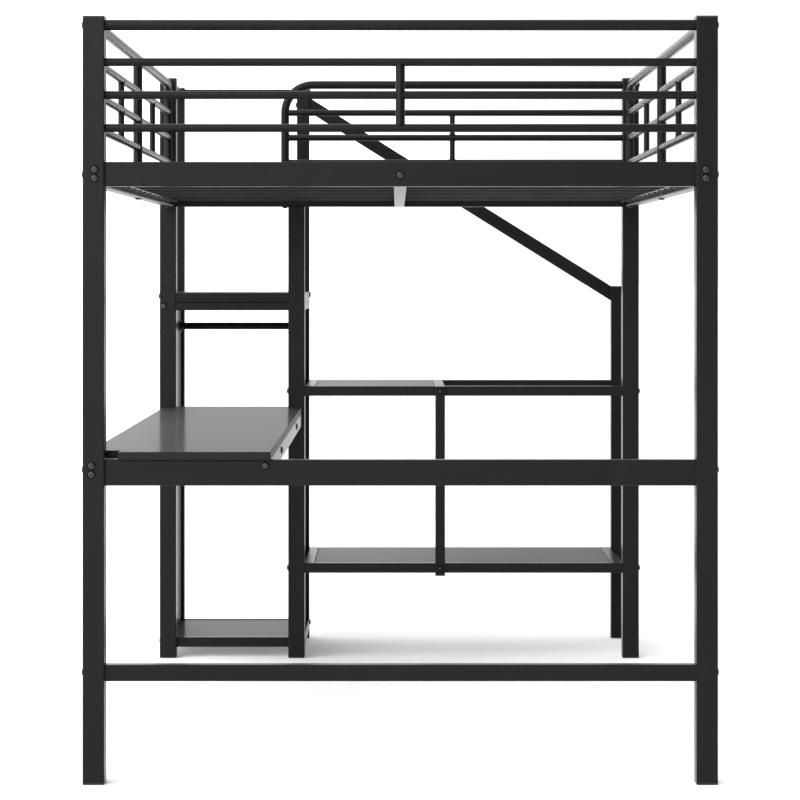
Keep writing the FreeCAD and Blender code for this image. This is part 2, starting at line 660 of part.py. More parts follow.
def side_tube(low_x, top):
    """A step's side tube, welded between its front and rear bars."""
    front = STEP_FRONT_MID + STEP_TUBE / 2
    rear = STAIR_MID - STEP_TUBE / 2
    return tube(Y, (low_x, front, top - STEP_TUBE), (low_x + STEP_TUBE, rear, top),
                start_plate=0, end_plate=0)


def board(node, low_x, high_x, top, posts=()):
    """A board let into its frame, notched round any post, on screws from below."""
    front = STEP_FRONT_MID + STEP_TUBE / 2
    rear = STAIR_MID - STEP_TUBE / 2
    bottom = top - STEP_BOARD_THICKNESS
    panel = Part.makeBox(
        high_x - low_x - 2 * PIECE_GAP, rear - front - 2 * PIECE_GAP, STEP_BOARD_THICKNESS,
        Vector(low_x + PIECE_GAP, front + PIECE_GAP, bottom)
    )
    for x, y, size in posts:
        panel = panel.cut(Part.makeBox(
            size + 2 * PIECE_GAP, size + 2 * PIECE_GAP, HEIGHT,
            Vector(x - PIECE_GAP, y - PIECE_GAP, 0)
        ))
    add(node, panel)
    under = bottom - LEDGE_THICKNESS
    third = (high_x - low_x) / 3
    for x in (low_x + third, high_x - third):
        for y in (front + LEDGE_WIDTH / 2, rear - LEDGE_WIDTH / 2):
            wood_screw((x, y, under), (0, 0, 1), LEDGE_THICKNESS)


def make_steps():
    levels = (
        ("first_step", FIRST_STEP_TOP, TOWER_RIGHT, TOWER_RIGHT, POST_RIGHT),
        ("second_step", SECOND_STEP_TOP, SHELF_POST_LEFT, SHELF_POST_LEFT,
         SHELF_POST_RIGHT + SECOND_STEP_WIDTH),
        ("third_step", THIRD_STEP_TOP, TOWER_RIGHT, TOWER_RIGHT, SHELF_POST_RIGHT),
    )
    for name, top, bar_left, board_left, board_right in levels:
        inner_left = board_left + STEP_TUBE
        inner_right = board_right - STEP_TUBE
        node = name + "_frame"
        inner = (inner_left, inner_right)
        add(node, step_bar(bar_left, POST_RIGHT, STEP_FRONT_MID, top, inner, 1))
        add(node, step_bar(TOWER_RIGHT, STAIR_POST_RIGHT, STAIR_MID, top, inner, -1))
        add(node, side_tube(board_left, top), side_tube(inner_right, top))
        board(name + "_board", inner_left, inner_right, top)
        z = top - STEP_TUBE / 2
        bolt("stair_bolts", (RIGHT, STEP_FRONT_MID, z), (-1, 0, 0), POST)
        bolt("stair_bolts", (STAIR_RIGHT, STAIR_MID, z), (-1, 0, 0), STAIR_POST)
        bolt("stair_bolts", (TOWER_RIGHT - STAIR_POST, STAIR_MID, z), (1, 0, 0), STAIR_POST)
        if bar_left == TOWER_RIGHT:
            bolt("stair_bolts", (TOWER_POST_LEFT, STEP_FRONT_MID, z), (1, 0, 0), POST)
        x = SHELF_POST_LEFT + STEP_TUBE / 2
        screw_length = SHELF_POST_DEPTH + END_PLATE
        screw = headed_pin(
            SCREW_DIAMETER, screw_length, SCREW_HEAD_DIAMETER, SCREW_HEAD_HEIGHT,
            SCREW_HEAD_RIM, SCREW_SOCKET
        )
        fix("stair_bolts", screw, (x, HEAD_FACE - SHELF_POST_DEPTH, z), (0, 1, 0),
            SCREW_DIAMETER, SHELF_POST_DEPTH, screw_length)


def make_shelf_post():
    front = HEAD_FACE - SHELF_POST_DEPTH
    add("shelf_post", tube(
        Z, (SHELF_POST_LEFT, front, SHELF_POST_FOOT), (SHELF_POST_RIGHT, HEAD_FACE, THIRD_STEP_TOP),
        start_plate=TUBE_WALL, end_plate=TUBE_WALL
    ))


def make_handrail():
    """A flat tube from the tower's rear middle post down to the stair's rear post."""
    top_z = HEIGHT - HANDRAIL_TOP_DROP
    run = STAIR_POST_RIGHT - TOWER_RIGHT
    fall = top_z - STAIR_REAR_POST_TOP
    plumb = HANDRAIL_WIDTH * math.hypot(run, fall) / run
    wall = TUBE_WALL * math.hypot(run, fall) / run

    def slanted(low_x, high_x, low_y, high_y, trim):
        def upper(x):
            return top_z - fall * (x - TOWER_RIGHT) / run - trim
        corners = [
            Vector(low_x, low_y, upper(low_x)), Vector(high_x, low_y, upper(high_x)),
            Vector(high_x, low_y, upper(high_x) - plumb + 2 * trim),
            Vector(low_x, low_y, upper(low_x) - plumb + 2 * trim)
        ]
        face = Part.Face(Part.makePolygon(corners + corners[:1]))
        return face.extrude(Vector(0, high_y - low_y, 0))

    half = HANDRAIL_THICKNESS / 2
    outer = slanted(TOWER_RIGHT, STAIR_POST_RIGHT, STAIR_MID - half, STAIR_MID + half, 0)
    along = [edge for edge in outer.Edges if abs(edge.Vertexes[1].X - edge.Vertexes[0].X) > 1]
    outer = outer.makeFillet(TUBE_RADIUS, along)
    inner = slanted(TOWER_RIGHT + END_PLATE, STAIR_POST_RIGHT - END_PLATE,
                    STAIR_MID - half + TUBE_WALL, STAIR_MID + half - TUBE_WALL, wall)
    add("handrail", outer.cut(inner))
    bolt("stair_bolts", (TOWER_RIGHT - STAIR_POST, STAIR_MID, top_z - plumb / 2), (1, 0, 0), STAIR_POST)
    bolt("stair_bolts", (STAIR_RIGHT, STAIR_MID, STAIR_REAR_POST_TOP - plumb / 2), (-1, 0, 0), STAIR_POST)


# ---------------------------------------------------------------- tower
def tower_side_bar(node, centre_x, top, width, height, left_bolt=False):
    """A bar along Y between a bed post and a stair post; its front end is open."""
    half = width / 2
    add(node, tube(
        Y, (centre_x - half, HEAD, top - height), (centre_x + half, STAIR_FACE, top),
        start_plate=END_PLATE if left_bolt else 0
    ))
    z = top - height / 2
    if left_bolt:
        bolt("tower_bolts", (centre_x, HEAD_FACE, z), (0, 1, 0), POST)
    else:
        spigot(Y, HEAD, 1, (centre_x, z), width, height)
    bolt("tower_bolts", (centre_x, REAR, z - BOLT_STAGGER), (0, -1, 0), STAIR_POST)


def tower_cross_bolts(z, y, grip_left):
    bolt("tower_bolts", (LEFT, y, z + BOLT_STAGGER), (1, 0, 0), grip_left)


def make_landing():
    top = LANDING_TOP
    inner = (POST_LEFT, TOWER_POST_LEFT)
    add("landing_frame", step_bar(
        POST_LEFT, TOWER_POST_LEFT, STEP_FRONT_MID, top, inner, 1, end_plate=0
    ))
    spigot(X, TOWER_POST_LEFT, -1, (STEP_FRONT_MID, top - STEP_TUBE / 2), STEP_TUBE, STEP_TUBE)
    add("landing_frame", step_bar(
        LEFT + STAIR_POST, TOWER_RIGHT - STAIR_POST, STAIR_MID, top, inner, -1
    ))
    half = STEP_TUBE / 2
    for x in (LEFT + half, TOWER_RIGHT - half):
        tower_side_bar("landing_frame", x, top, STEP_TUBE, STEP_TUBE)
    z = top - half
    tower_cross_bolts(z, STEP_FRONT_MID, POST)
    tower_cross_bolts(z, STAIR_MID, STAIR_POST)
    bolt("tower_bolts", (TOWER_RIGHT, STAIR_MID, z + BOLT_STAGGER), (-1, 0, 0), STAIR_POST)
    corners = (
        (LEFT, HEAD_FACE, POST), (TOWER_POST_LEFT, HEAD_FACE, POST),
        (LEFT, STAIR_FACE, STAIR_POST), (TOWER_RIGHT - STAIR_POST, STAIR_FACE, STAIR_POST)
    )
    board("landing_board", LEFT + STEP_TUBE, TOWER_RIGHT - STEP_TUBE, top, corners)


def make_wardrobe_rails():
    """Rails under the landing, which hold the side panels' top edges."""
    top = LANDING_TOP - STEP_TUBE
    low_z = top - WARDROBE_RAIL_HEIGHT
    half = STEP_TUBE / 2
    add("wardrobe_top_rails", tube(
        X, (POST_LEFT, STEP_FRONT_MID - half, low_z), (TOWER_POST_LEFT, STEP_FRONT_MID + half, top)
    ))
    add("wardrobe_top_rails", tube(
        X, (LEFT + STAIR_POST, STAIR_MID - half, low_z),
        (TOWER_RIGHT - STAIR_POST, STAIR_MID + half, top)
    ))
    width = WARDROBE_RAIL_WIDTH
    tower_side_bar("wardrobe_top_rails", LEFT + width / 2 + PIECE_GAP / 2, top, width,
                   WARDROBE_RAIL_HEIGHT, left_bolt=True)
    tower_side_bar("wardrobe_top_rails", TOWER_RIGHT - width / 2, top, width, WARDROBE_RAIL_HEIGHT)


def make_wardrobe_floor():
    top = WARDROBE_FLOOR_TOP
    low_z = top - STEP_TUBE
    depth = WARDROBE_BAR_DEPTH
    add("wardrobe_floor_frame", tube(
        X, (POST_LEFT, HEAD - depth, low_z), (TOWER_POST_LEFT, HEAD, top), end_plate=0
    ))
    add("wardrobe_floor_frame", tube(
        X, (LEFT + STAIR_POST, STAIR_MID - depth / 2, low_z),
        (TOWER_RIGHT - STAIR_POST, STAIR_MID + depth / 2, top)
    ))
    z = top - STEP_TUBE / 2
    spigot(X, TOWER_POST_LEFT, -1, (HEAD - depth / 2, z), depth, STEP_TUBE)
    half = STEP_TUBE / 2
    for x in (LEFT + half, TOWER_RIGHT - half):
        tower_side_bar("wardrobe_floor_frame", x, top, STEP_TUBE, STEP_TUBE)
    tower_cross_bolts(z, HEAD - depth / 2, POST)
    tower_cross_bolts(z, STAIR_MID, STAIR_POST)
    bolt("tower_bolts", (TOWER_RIGHT, STAIR_MID, z + BOLT_STAGGER), (-1, 0, 0), STAIR_POST)
    low_x = LEFT + STEP_TUBE
    high_x = TOWER_RIGHT - STEP_TUBE
    board_top = top - WARDROBE_BOARD_DROP
    board_bottom = board_top - STEP_BOARD_THICKNESS
    add("wardrobe_floor_board", Part.makeBox(
        high_x - low_x - 2 * PIECE_GAP, STAIR_FACE - HEAD - 2 * PIECE_GAP, STEP_BOARD_THICKNESS,
        Vector(low_x + PIECE_GAP, HEAD + PIECE_GAP, board_bottom)
    ))
    runners = parts["wardrobe_floor_frame"][2:4]
    for index, (wall_x, side) in enumerate(((low_x, 1), (high_x, -1))):
        strip_x = min(wall_x, wall_x + side * LEDGE_WIDTH)
        strip = Part.makeBox(
            LEDGE_WIDTH, STAIR_FACE - HEAD, LEDGE_THICKNESS,
            Vector(strip_x, HEAD, board_bottom - LEDGE_THICKNESS)
        )
        parts["wardrobe_floor_frame"][2 + index] = runners[index].fuse(strip).removeSplitter()
        quarter = (STAIR_FACE - HEAD) / 4
        for y in (HEAD + quarter, STAIR_FACE - quarter):
            x = wall_x + side * LEDGE_WIDTH / 2
            wood_screw((x, y, board_bottom - LEDGE_THICKNESS), (0, 0, 1), LEDGE_THICKNESS)


def make_wardrobe_panels():
    low_z = WARDROBE_FLOOR_TOP
    high_z = LANDING_TOP - STEP_TUBE - WARDROBE_RAIL_HEIGHT
    head_room = BOLT_HEAD_HEIGHT + PIECE_GAP
    places = (
        ("wardrobe_left_panel", LEFT + PANEL_LEFT_INSET),
        ("wardrobe_right_panel", TOWER_RIGHT - PANEL_RIGHT_INSET - PANEL_THICKNESS),
    )
    for node, x in places:
        add(node, Part.makeBox(
            PANEL_THICKNESS, STAIR_FACE - HEAD - head_room - PIECE_GAP, high_z - low_z,
            Vector(x, HEAD + head_room, low_z)
        ))
        for y in (HEAD + DOWEL_INSET, STAIR_FACE - DOWEL_INSET):
            for z in (low_z, high_z):
                start = Vector(x + PANEL_THICKNESS / 2, y, z - DOWEL_LENGTH / 2)
                end = start.add(Vector(0, 0, DOWEL_LENGTH))
                fasteners.setdefault("panel_dowels", []).append(cylinder(start, end, DOWEL_DIAMETER))
                gap = Vector(0, 0, FIT_GAP)
                cutters.append(cylinder(start.sub(gap), end.add(gap), DOWEL_DIAMETER + 2 * THREAD_GAP))
    y = STAIR_FACE - HANGING_ROD_REAR_GAP
    left_wall = LEFT + PANEL_LEFT_INSET + PANEL_THICKNESS
    right_wall = TOWER_RIGHT - PANEL_RIGHT_INSET - PANEL_THICKNESS
    z = HANGING_ROD_HEIGHT
    start = (left_wall + CUP_FLANGE + PIECE_GAP, y, z)
    end = (right_wall - CUP_FLANGE - PIECE_GAP, y, z)
    add("hanging_rod", round_tube(start, end, HANGING_ROD_DIAMETER))
    for wall_x, side in ((left_wall, 1), (right_wall, -1)):
        plate = cylinder((wall_x, y, z), (wall_x + side * CUP_FLANGE, y, z), CUP_DIAMETER)
        collar_end = wall_x + side * CUP_COLLAR
        bore = HANGING_ROD_DIAMETER + 2 * FIT_GAP
        collar = cylinder((wall_x, y, z), (collar_end, y, z), bore + 2 * CUP_WALL)
        hollow = cylinder((wall_x + side * CUP_FLANGE, y, z), (collar_end + side, y, z), bore)
        add("hanging_rod_cups", plate.fuse(collar).cut(hollow))


def make_tower_top():
    top = HEIGHT - TOWER_BAR_DROP
    half = TOWER_BAR / 2
    add("tower_top_bars", tube(
        X, (LEFT + STAIR_POST, STAIR_MID - half, top - TOWER_BAR),
        (TOWER_RIGHT - STAIR_POST, STAIR_MID + half, top)
    ))
    z = top - half
    tower_cross_bolts(z, STAIR_MID, STAIR_POST)
    bolt("tower_bolts", (TOWER_RIGHT, STAIR_MID, z + BOLT_STAGGER), (-1, 0, 0), STAIR_POST)
    tower_side_bar("tower_top_bars", LEFT + STAIR_POST / 2, top, TOWER_BAR, TOWER_BAR)


def make_tower_post_bolt():
    """The bolt that ties the tower's middle post to the bed's rear rail."""
    bolt("bed_rail_bolts", ((TOWER_POST_LEFT + TOWER_RIGHT) / 2 + BOLT_STAGGER, HEAD_MID, BED_RAIL_TOP),
         (0, 0, -1), BED_RAIL_HEIGHT)


# ---------------------------------------------------------------- build
def drilled(solid):
    """Cuts the holes of every fastener that reaches into this solid."""
    box = solid.BoundBox
    hits = [cutter for cutter in cutters if box.intersect(cutter.BoundBox)]
    if hits:
        solid = solid.cut(hits)
    return solid


def export(node, solids):
    shape = solids[0] if len(solids) == 1 else Part.makeCompound(solids)
    shape.exportStep(os.path.join("parts", node + ".step"))
    print(node, len(solids), round(shape.Volume / 1000, 1), shape.isValid())


def main():
    os.makedirs("parts", exist_ok=True)
    make_posts()
    make_front()
    make_bed_rails()
    make_centre_beam()
    make_slats()
    make_side_guards()
    make_rear_guard()
    make_desk_board()
    make_desk_frame()
    make_steps()
    make_shelf_post()
    make_handrail()
    make_landing()
    make_wardrobe_rails()
    make_wardrobe_floor()
    make_wardrobe_panels()
    make_tower_top()
    make_tower_post_bolt()
    for node, solids in parts.items():
        export(node, [piece for solid in solids for piece in drilled(solid).Solids])
    for node, solids in fasteners.items():
        export(node, solids)


main()
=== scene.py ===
import json
import math

import bmesh
import bpy
from bpy.props import (
    FloatProperty, FloatVectorProperty, IntProperty, PointerProperty
)
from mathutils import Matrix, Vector


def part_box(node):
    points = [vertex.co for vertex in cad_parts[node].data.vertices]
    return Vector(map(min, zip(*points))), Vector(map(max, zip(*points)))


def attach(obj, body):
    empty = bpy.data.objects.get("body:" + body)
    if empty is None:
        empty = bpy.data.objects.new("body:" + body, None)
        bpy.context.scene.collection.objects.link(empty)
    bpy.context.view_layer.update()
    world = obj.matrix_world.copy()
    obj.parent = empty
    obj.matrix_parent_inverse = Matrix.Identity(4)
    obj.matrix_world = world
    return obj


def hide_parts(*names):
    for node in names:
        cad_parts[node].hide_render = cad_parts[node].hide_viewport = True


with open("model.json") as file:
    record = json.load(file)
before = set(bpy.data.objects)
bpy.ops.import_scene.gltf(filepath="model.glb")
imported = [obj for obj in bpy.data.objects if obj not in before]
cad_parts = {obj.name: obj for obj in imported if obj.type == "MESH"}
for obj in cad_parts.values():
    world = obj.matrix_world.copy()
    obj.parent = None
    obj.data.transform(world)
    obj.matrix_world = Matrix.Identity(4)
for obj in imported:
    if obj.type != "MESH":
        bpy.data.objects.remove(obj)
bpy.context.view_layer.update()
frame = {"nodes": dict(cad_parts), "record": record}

bl_info = {
    "name": "Loft bed finishes",
    "version": (1, 0, 0),
    "blender": (4, 5, 0),
    "location": "View3D > Sidebar > Loft bed",
    "description": "Powder coat, laminate, welds, slats and caps for a steel loft bed with a desk",
    "category": "Object",
}

MM = 0.001
EDGE_BAND = "edge_band"
NODES = frame["nodes"]
BODY = "root"


# ------------------------------------------------------------ shader maths
class Term:
    """A shader socket that takes part in arithmetic, one Math node for each sign."""

    def __init__(self, finish, socket):
        self.finish = finish
        self.socket = socket

    def maths(self, operation, *values):
        return self.finish.node("ShaderNodeMath", {"operation": operation}, values)

    def __add__(self, other):
        return self.maths("ADD", self, other)

    def __sub__(self, other):
        return self.maths("SUBTRACT", self, other)

    def __rsub__(self, other):
        return self.maths("SUBTRACT", other, self)

    def __mul__(self, other):
        return self.maths("MULTIPLY", self, other)

    __radd__ = __add__

    def between(self, low, high):
        """0 below low, 1 above high, and a smooth rise between them."""
        values = {"Value": self, "From Min": low, "From Max": high}
        settings = {"interpolation_type": "SMOOTHSTEP"}
        return self.finish.node("ShaderNodeMapRange", settings, values)


class Finish:
    """A material, or a world, whose nodes are added one by one."""

    def __init__(self, owner, place="Object"):
        self.owner = owner
        owner.use_nodes = True
        self.tree = owner.node_tree
        self.tree.nodes.clear()
        self.place = self.node("ShaderNodeTexCoord", output=place)

    def node(self, kind, settings=None, values=(), output=0):
        """Adds a node. Settings come first, then the values or links of its sockets."""
        made = self.tree.nodes.new(kind)
        for name, value in (settings or {}).items():
            setattr(made, name, value)
        pairs = values.items() if isinstance(values, dict) else enumerate(values)
        for key, value in pairs:
            socket = made.inputs[key]
            if isinstance(value, Term):
                self.tree.links.new(value.socket, socket)
            else:
                socket.default_value = value
        return Term(self, made.outputs[output]) if made.outputs else None

    def noise(self, size, detail=2.0, rough=0.5, stretch=None):
        """Smooth noise whose lumps are about the given size across, in metres."""
        place = self.place
        if stretch:
            place = self.node("ShaderNodeMapping", None, {"Vector": place, "Scale": stretch})
        values = {"Vector": place, "Scale": 1 / size, "Detail": detail, "Roughness": rough}
        return self.node("ShaderNodeTexNoise", None, values)

    def blend(self, factor, first, second):
        """A colour between two others."""
        made = self.tree.nodes.new("ShaderNodeMix")
        made.data_type = "RGBA"
        for index, value in ((0, factor), (6, first), (7, second)):
            if isinstance(value, Term):
                self.tree.links.new(value.socket, made.inputs[index])
            else:
                made.inputs[index].default_value = value
        return Term(self, made.outputs[2])

    def bump(self, height, depth, normal=None):
        values = {"Height": height, "Distance": depth, "Strength": 1.0}
        if normal:
            values["Normal"] = normal
        return self.node("ShaderNodeBump", None, values)

    def shader(self, **sockets):
        """A Principled shader, whose sockets are named with underscores for spaces."""
        values = {name.replace("_", " "): value for name, value in sockets.items()}
        return self.node("ShaderNodeBsdfPrincipled", None, values)

    def surface(self, shader):
        self.node("ShaderNodeOutputMaterial", None, {"Surface": shader})
        return self.owner

    def finish(self, **sockets):
        return self.surface(self.shader(**sockets))


def new_finish(name):
    return Finish(bpy.data.materials.new(name))


def rgba(colour, gain=1.0):
    return (*(channel * gain for channel in colour), 1.0)


def powder_coat(name, settings, roughness, shine):
    """Satin black polyester powder: an orange-peel skin, faint clouding and fine grit."""
    coat = new_finish(name)
    peel = coat.noise(settings.peel_size, detail=1.0)
    grit = coat.noise(settings.grit_size, detail=3.0, rough=0.6)
    cloud = coat.noise(0.35, detail=3.0)
    rubbed = coat.noise(0.06, detail=4.0, rough=0.65).between(0.56, 0.74)
    colour = coat.blend(cloud, rgba(settings.colour, 0.8), rgba(settings.colour, 1.2))
    colour = coat.blend(rubbed * 0.35, colour, rgba(settings.colour, 1.7))
    rough = roughness + (cloud - 0.5) * 0.10 + (grit - 0.5) * 0.08 - rubbed * 0.05
    skin = coat.bump(peel, settings.peel_depth)
    skin = coat.bump(grit, settings.grit_depth, skin)
    return coat.finish(Base_Color=colour, Roughness=rough, Normal=skin, Specular_IOR_Level=shine)


def laminate(name, settings):
    """Melamine-faced board: a close pore pattern, smears from wiping, duller edge band."""
    sheet = new_finish(name)
    pores = sheet.noise(settings.pore_size, detail=2.0, rough=0.6)
    pressed = sheet.noise(0.0045, detail=2.0, stretch=(1.0, 0.12, 1.0))
    smear = sheet.noise(0.16, detail=4.0, rough=0.6, stretch=(1.0, 0.5, 1.0))
    edge = sheet.node("ShaderNodeAttribute", {"attribute_name": EDGE_BAND}, output="Fac")
    colour = sheet.blend(smear, rgba(settings.colour, 0.9), rgba(settings.colour, 1.15))
    colour = sheet.blend(edge, colour, rgba(settings.colour, 0.6))
    rough = settings.roughness + (smear - 0.5) * 0.05 + (pores - 0.5) * 0.04
    grain = sheet.bump(pores, settings.pore_depth)
    grain = sheet.bump(pressed, settings.pore_depth * 2, grain)
    skin = sheet.shader(Base_Color=colour, Roughness=rough, Normal=grain, Specular_IOR_Level=0.33)
    matte = sheet.shader(Base_Color=colour, Roughness=0.6, Normal=grain, Specular_IOR_Level=0.15)
    open_share = 1 - (1 - edge * 0.6) * settings.gloss - (smear - 0.5) * 0.05
    return sheet.surface(sheet.node("ShaderNodeMixShader", None, (open_share, skin, matte)))


def moulded_plastic(name, settings):
    """Black polyethylene with a spark-eroded grain and a few dull scuffs."""
    plastic = new_finish(name)
    grain = plastic.noise(settings.grain_size, detail=2.0, rough=0.7)
    scuff = plastic.noise(0.012, detail=5.0, rough=0.7, stretch=(1.0, 1.0, 0.3)).between(0.58, 0.7)
    colour = plastic.blend(scuff * 0.5, rgba(settings.colour), rgba(settings.colour, 2.2))
    rough = settings.roughness + (grain - 0.5) * 0.12 + scuff * 0.10
    skin = plastic.bump(grain, settings.grain_depth)
    return plastic.finish(Base_Color=colour, Roughness=rough, Normal=skin)


def black_oxide(name, settings):
    """Blackened steel bolts: brushed turning marks, with bare steel rubbed at high spots."""
    steel = new_finish(name)
    turned = steel.noise(0.0009, detail=3.0, rough=0.6)
    rubbed = steel.noise(0.004, detail=4.0, rough=0.7).between(0.55, 0.72)
    colour = steel.blend(rubbed * 0.5, rgba(settings.colour), rgba(settings.bare_colour))
    rough = settings.roughness + (turned - 0.5) * 0.16
    marks = steel.bump(turned, 0.00002)
    return steel.finish(Base_Color=colour, Roughness=rough, Metallic=rubbed * 0.5 + 0.3, Normal=marks)


def shadow_ring_rubber(name):
    """Dead matt black rubber with a faint bloom, kept this dark so that a washer's rim is a painted shadow
    ring round a bolt's head.
    """
    rubber = new_finish(name)
    bloom = rubber.noise(0.003, detail=3.0, rough=0.6)
    # Near black, darker than the plastic: the painted shadow round the bolt heads.
    colour = rubber.blend(bloom, (0.003, 0.003, 0.003, 1.0), (0.006, 0.006, 0.006, 1.0))
    grain = rubber.bump(rubber.noise(0.0008), 0.00002)
    return rubber.finish(
        Base_Color=colour, Roughness=0.85 + bloom * 0.1, Normal=grain, Specular_IOR_Level=0.05
    )


def plain_beech(name):
    """Turned beech pins, with close straight grain along their length."""
    wood = new_finish(name)
    grain = wood.noise(0.0012, detail=4.0, rough=0.6, stretch=(1.0, 1.0, 0.08))
    colour = wood.blend(grain, (0.48, 0.30, 0.16, 1.0), (0.70, 0.50, 0.30, 1.0))
    return wood.finish(Base_Color=colour, Roughness=0.55 + grain * 0.15, Normal=wood.bump(grain, 0.00005))


# ------------------------------------------------------------ meshes
def piece(name, mesh, material, slot):
    """Links a finished mesh as one piece that rides on the bed and wears the given material; the slot is not
    used.
    """
    mesh.materials.clear()
    mesh.materials.append(material)
    made = bpy.data.objects.new(name, mesh)
    bpy.context.scene.collection.objects.link(made)
    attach(made, BODY)
    return made


def rounded_ring(half_x, half_y, radius, steps=4):
    """The corners of a rounded rectangle, anticlockwise, round the Z axis."""
    ring = []
    for quarter in range(4):
        sign_x = 1 if quarter in (0, 3) else -1
        sign_y = 1 if quarter < 2 else -1
        for step in range(steps + 1):
            angle = math.radians(90) * (quarter + step / steps)
            ring.append((
                sign_x * (half_x - radius) + radius * math.cos(angle),
                sign_y * (half_y - radius) + radius * math.sin(angle)
            ))
    return ring


def loft(bm, centre, profile, turn=None):
    """A closed shell through rounded rectangles, each (half x, half y, radius, height)."""
    rows = []
    for half_x, half_y, radius, height in profile:
        points = [Vector((x, y, height)) for x, y in rounded_ring(half_x, half_y, radius)]
        if turn:
            points = [turn @ point for point in points]
        rows.append([bm.verts.new(centre + point) for point in points])
    bm.faces.new(list(reversed(rows[0])))
    bm.faces.new(rows[-1])
    count = len(rows[0])
    for low, high in zip(rows[:-1], rows[1:]):
        for n in range(count):
            after = (n + 1) % count
            bm.faces.new((low[n], low[after], high[after], high[n]))


def mesh_from(bm, name, sharp_angle=math.radians(35)):
    """Turns a bmesh to a mesh whose flat sides stay flat and whose roundings are smooth."""
    bmesh.ops.recalc_face_normals(bm, faces=bm.faces)
    for face in bm.faces:
        face.smooth = max(abs(part) for part in face.normal) < 0.9999
    for edge in bm.edges:
        if len(edge.link_faces) == 2 and edge.calc_face_angle() > sharp_angle:
            edge.smooth = False
    mesh = bpy.data.meshes.new(name)
    bm.to_mesh(mesh)
    bm.free()
    return mesh


# ------------------------------------------------------------ geometry nodes
class Pattern:
    """A geometry node tree with named inputs, which is run once and turned to plain mesh."""

    def __init__(self, name):
        self.tree = bpy.data.node_groups.new(name, "GeometryNodeTree")
        self.inlet = self.tree.nodes.new("NodeGroupInput")
        self.outlet = self.tree.nodes.new("NodeGroupOutput")
        self.names = {}
        self.values = {}
        self.add_input("Geometry", "NodeSocketGeometry", None)
        self.tree.interface.new_socket("Geometry", in_out="OUTPUT", socket_type="NodeSocketGeometry")

    def add_input(self, name, kind, value):
        socket = self.tree.interface.new_socket(name, in_out="INPUT", socket_type=kind)
        self.names[name] = socket.identifier
        if value is not None:
            self.values[socket.identifier] = value
        return self.get(name)

    def get(self, name):
        return self.inlet.outputs[name]

    def node(self, kind, settings=None, values=None, output=0):
        made = self.tree.nodes.new(kind)
        for name, value in (settings or {}).items():
            setattr(made, name, value)
        for key, value in (values or {}).items():
            socket = next(s for s in made.inputs if s.name == key and s.enabled)
            if isinstance(value, bpy.types.NodeSocket):
                self.tree.links.new(value, socket)
            else:
                socket.default_value = value
        return made.outputs[output]

    def close(self, geometry, material):
        whole = self.node("GeometryNodeRealizeInstances", None, {"Geometry": geometry})
        coated = self.node("GeometryNodeSetMaterial", None, {"Geometry": whole, "Material": material})
        self.tree.links.new(coated, self.outlet.inputs[0])

    def run(self, name, mesh):
        """Runs the tree on a mesh and returns the plain mesh that comes out."""
        carrier = bpy.data.objects.new(name, mesh)
        bpy.context.scene.collection.objects.link(carrier)
        modifier = carrier.modifiers.new(name, "NODES")
        modifier.node_group = self.tree
        for identifier, value in self.values.items():
            modifier[identifier] = value
        depsgraph = bpy.context.evaluated_depsgraph_get()
        made = bpy.data.meshes.new_from_object(carrier.evaluated_get(depsgraph))
        bpy.data.objects.remove(carrier)
        made.name = name
        return made


def row_of(name, sample, start, step, count, material):
    """Copies of a sample mesh in a straight row, as one plain mesh."""
    sample_object = bpy.data.objects.new(name + "_sample", sample)
    bpy.context.scene.collection.objects.link(sample_object)
    row = Pattern(name)
    values = {
        "Count": row.add_input("Count", "NodeSocketInt", count),
        "Start Location": row.add_input("Start", "NodeSocketVector", start),
        "Offset": row.add_input("Step", "NodeSocketVector", step),
    }
    line = row.node("GeometryNodeMeshLine", {"mode": "OFFSET"}, values)
    source = row.node(
        "GeometryNodeObjectInfo", None,
        {"Object": row.add_input("Sample", "NodeSocketObject", sample_object)}, output="Geometry"
    )
    copies = row.node("GeometryNodeInstanceOnPoints", None, {"Points": line, "Instance": source})
    row.close(copies, material)
    made = row.run(name, bpy.data.meshes.new(name + "_carrier"))
    bpy.data.objects.remove(sample_object)
    return made


def scatter(name, sample, seats, material):
    """Copies of a sample mesh on seats, each a place, a direction and a radius."""
    sample_object = bpy.data.objects.new(name + "_sample", sample)
    bpy.context.scene.collection.objects.link(sample_object)
    carrier = bpy.data.meshes.new(name + "_seats")
    carrier.from_pydata([place for place, axis, radius in seats], [], [])
    directions = carrier.attributes.new("direction", "FLOAT_VECTOR", "POINT")
    for item, (place, axis, radius) in zip(directions.data, seats):
        item.vector = axis
    many = Pattern(name)
    direction = many.node(
        "GeometryNodeInputNamedAttribute", {"data_type": "FLOAT_VECTOR"}, {"Name": "direction"}
    )
    turned = many.node("FunctionNodeAlignRotationToVector", {"axis": "Z"}, {"Vector": direction})
    source = many.node(
        "GeometryNodeObjectInfo", None,
        {"Object": many.add_input("Sample", "NodeSocketObject", sample_object)}, output="Geometry"
    )
    copies = many.node(
        "GeometryNodeInstanceOnPoints", None,
        {"Points": many.get("Geometry"), "Instance": source, "Rotation": turned}
    )
    many.close(copies, material)
    made = many.run(name, carrier)
    bpy.data.objects.remove(sample_object)
    return made


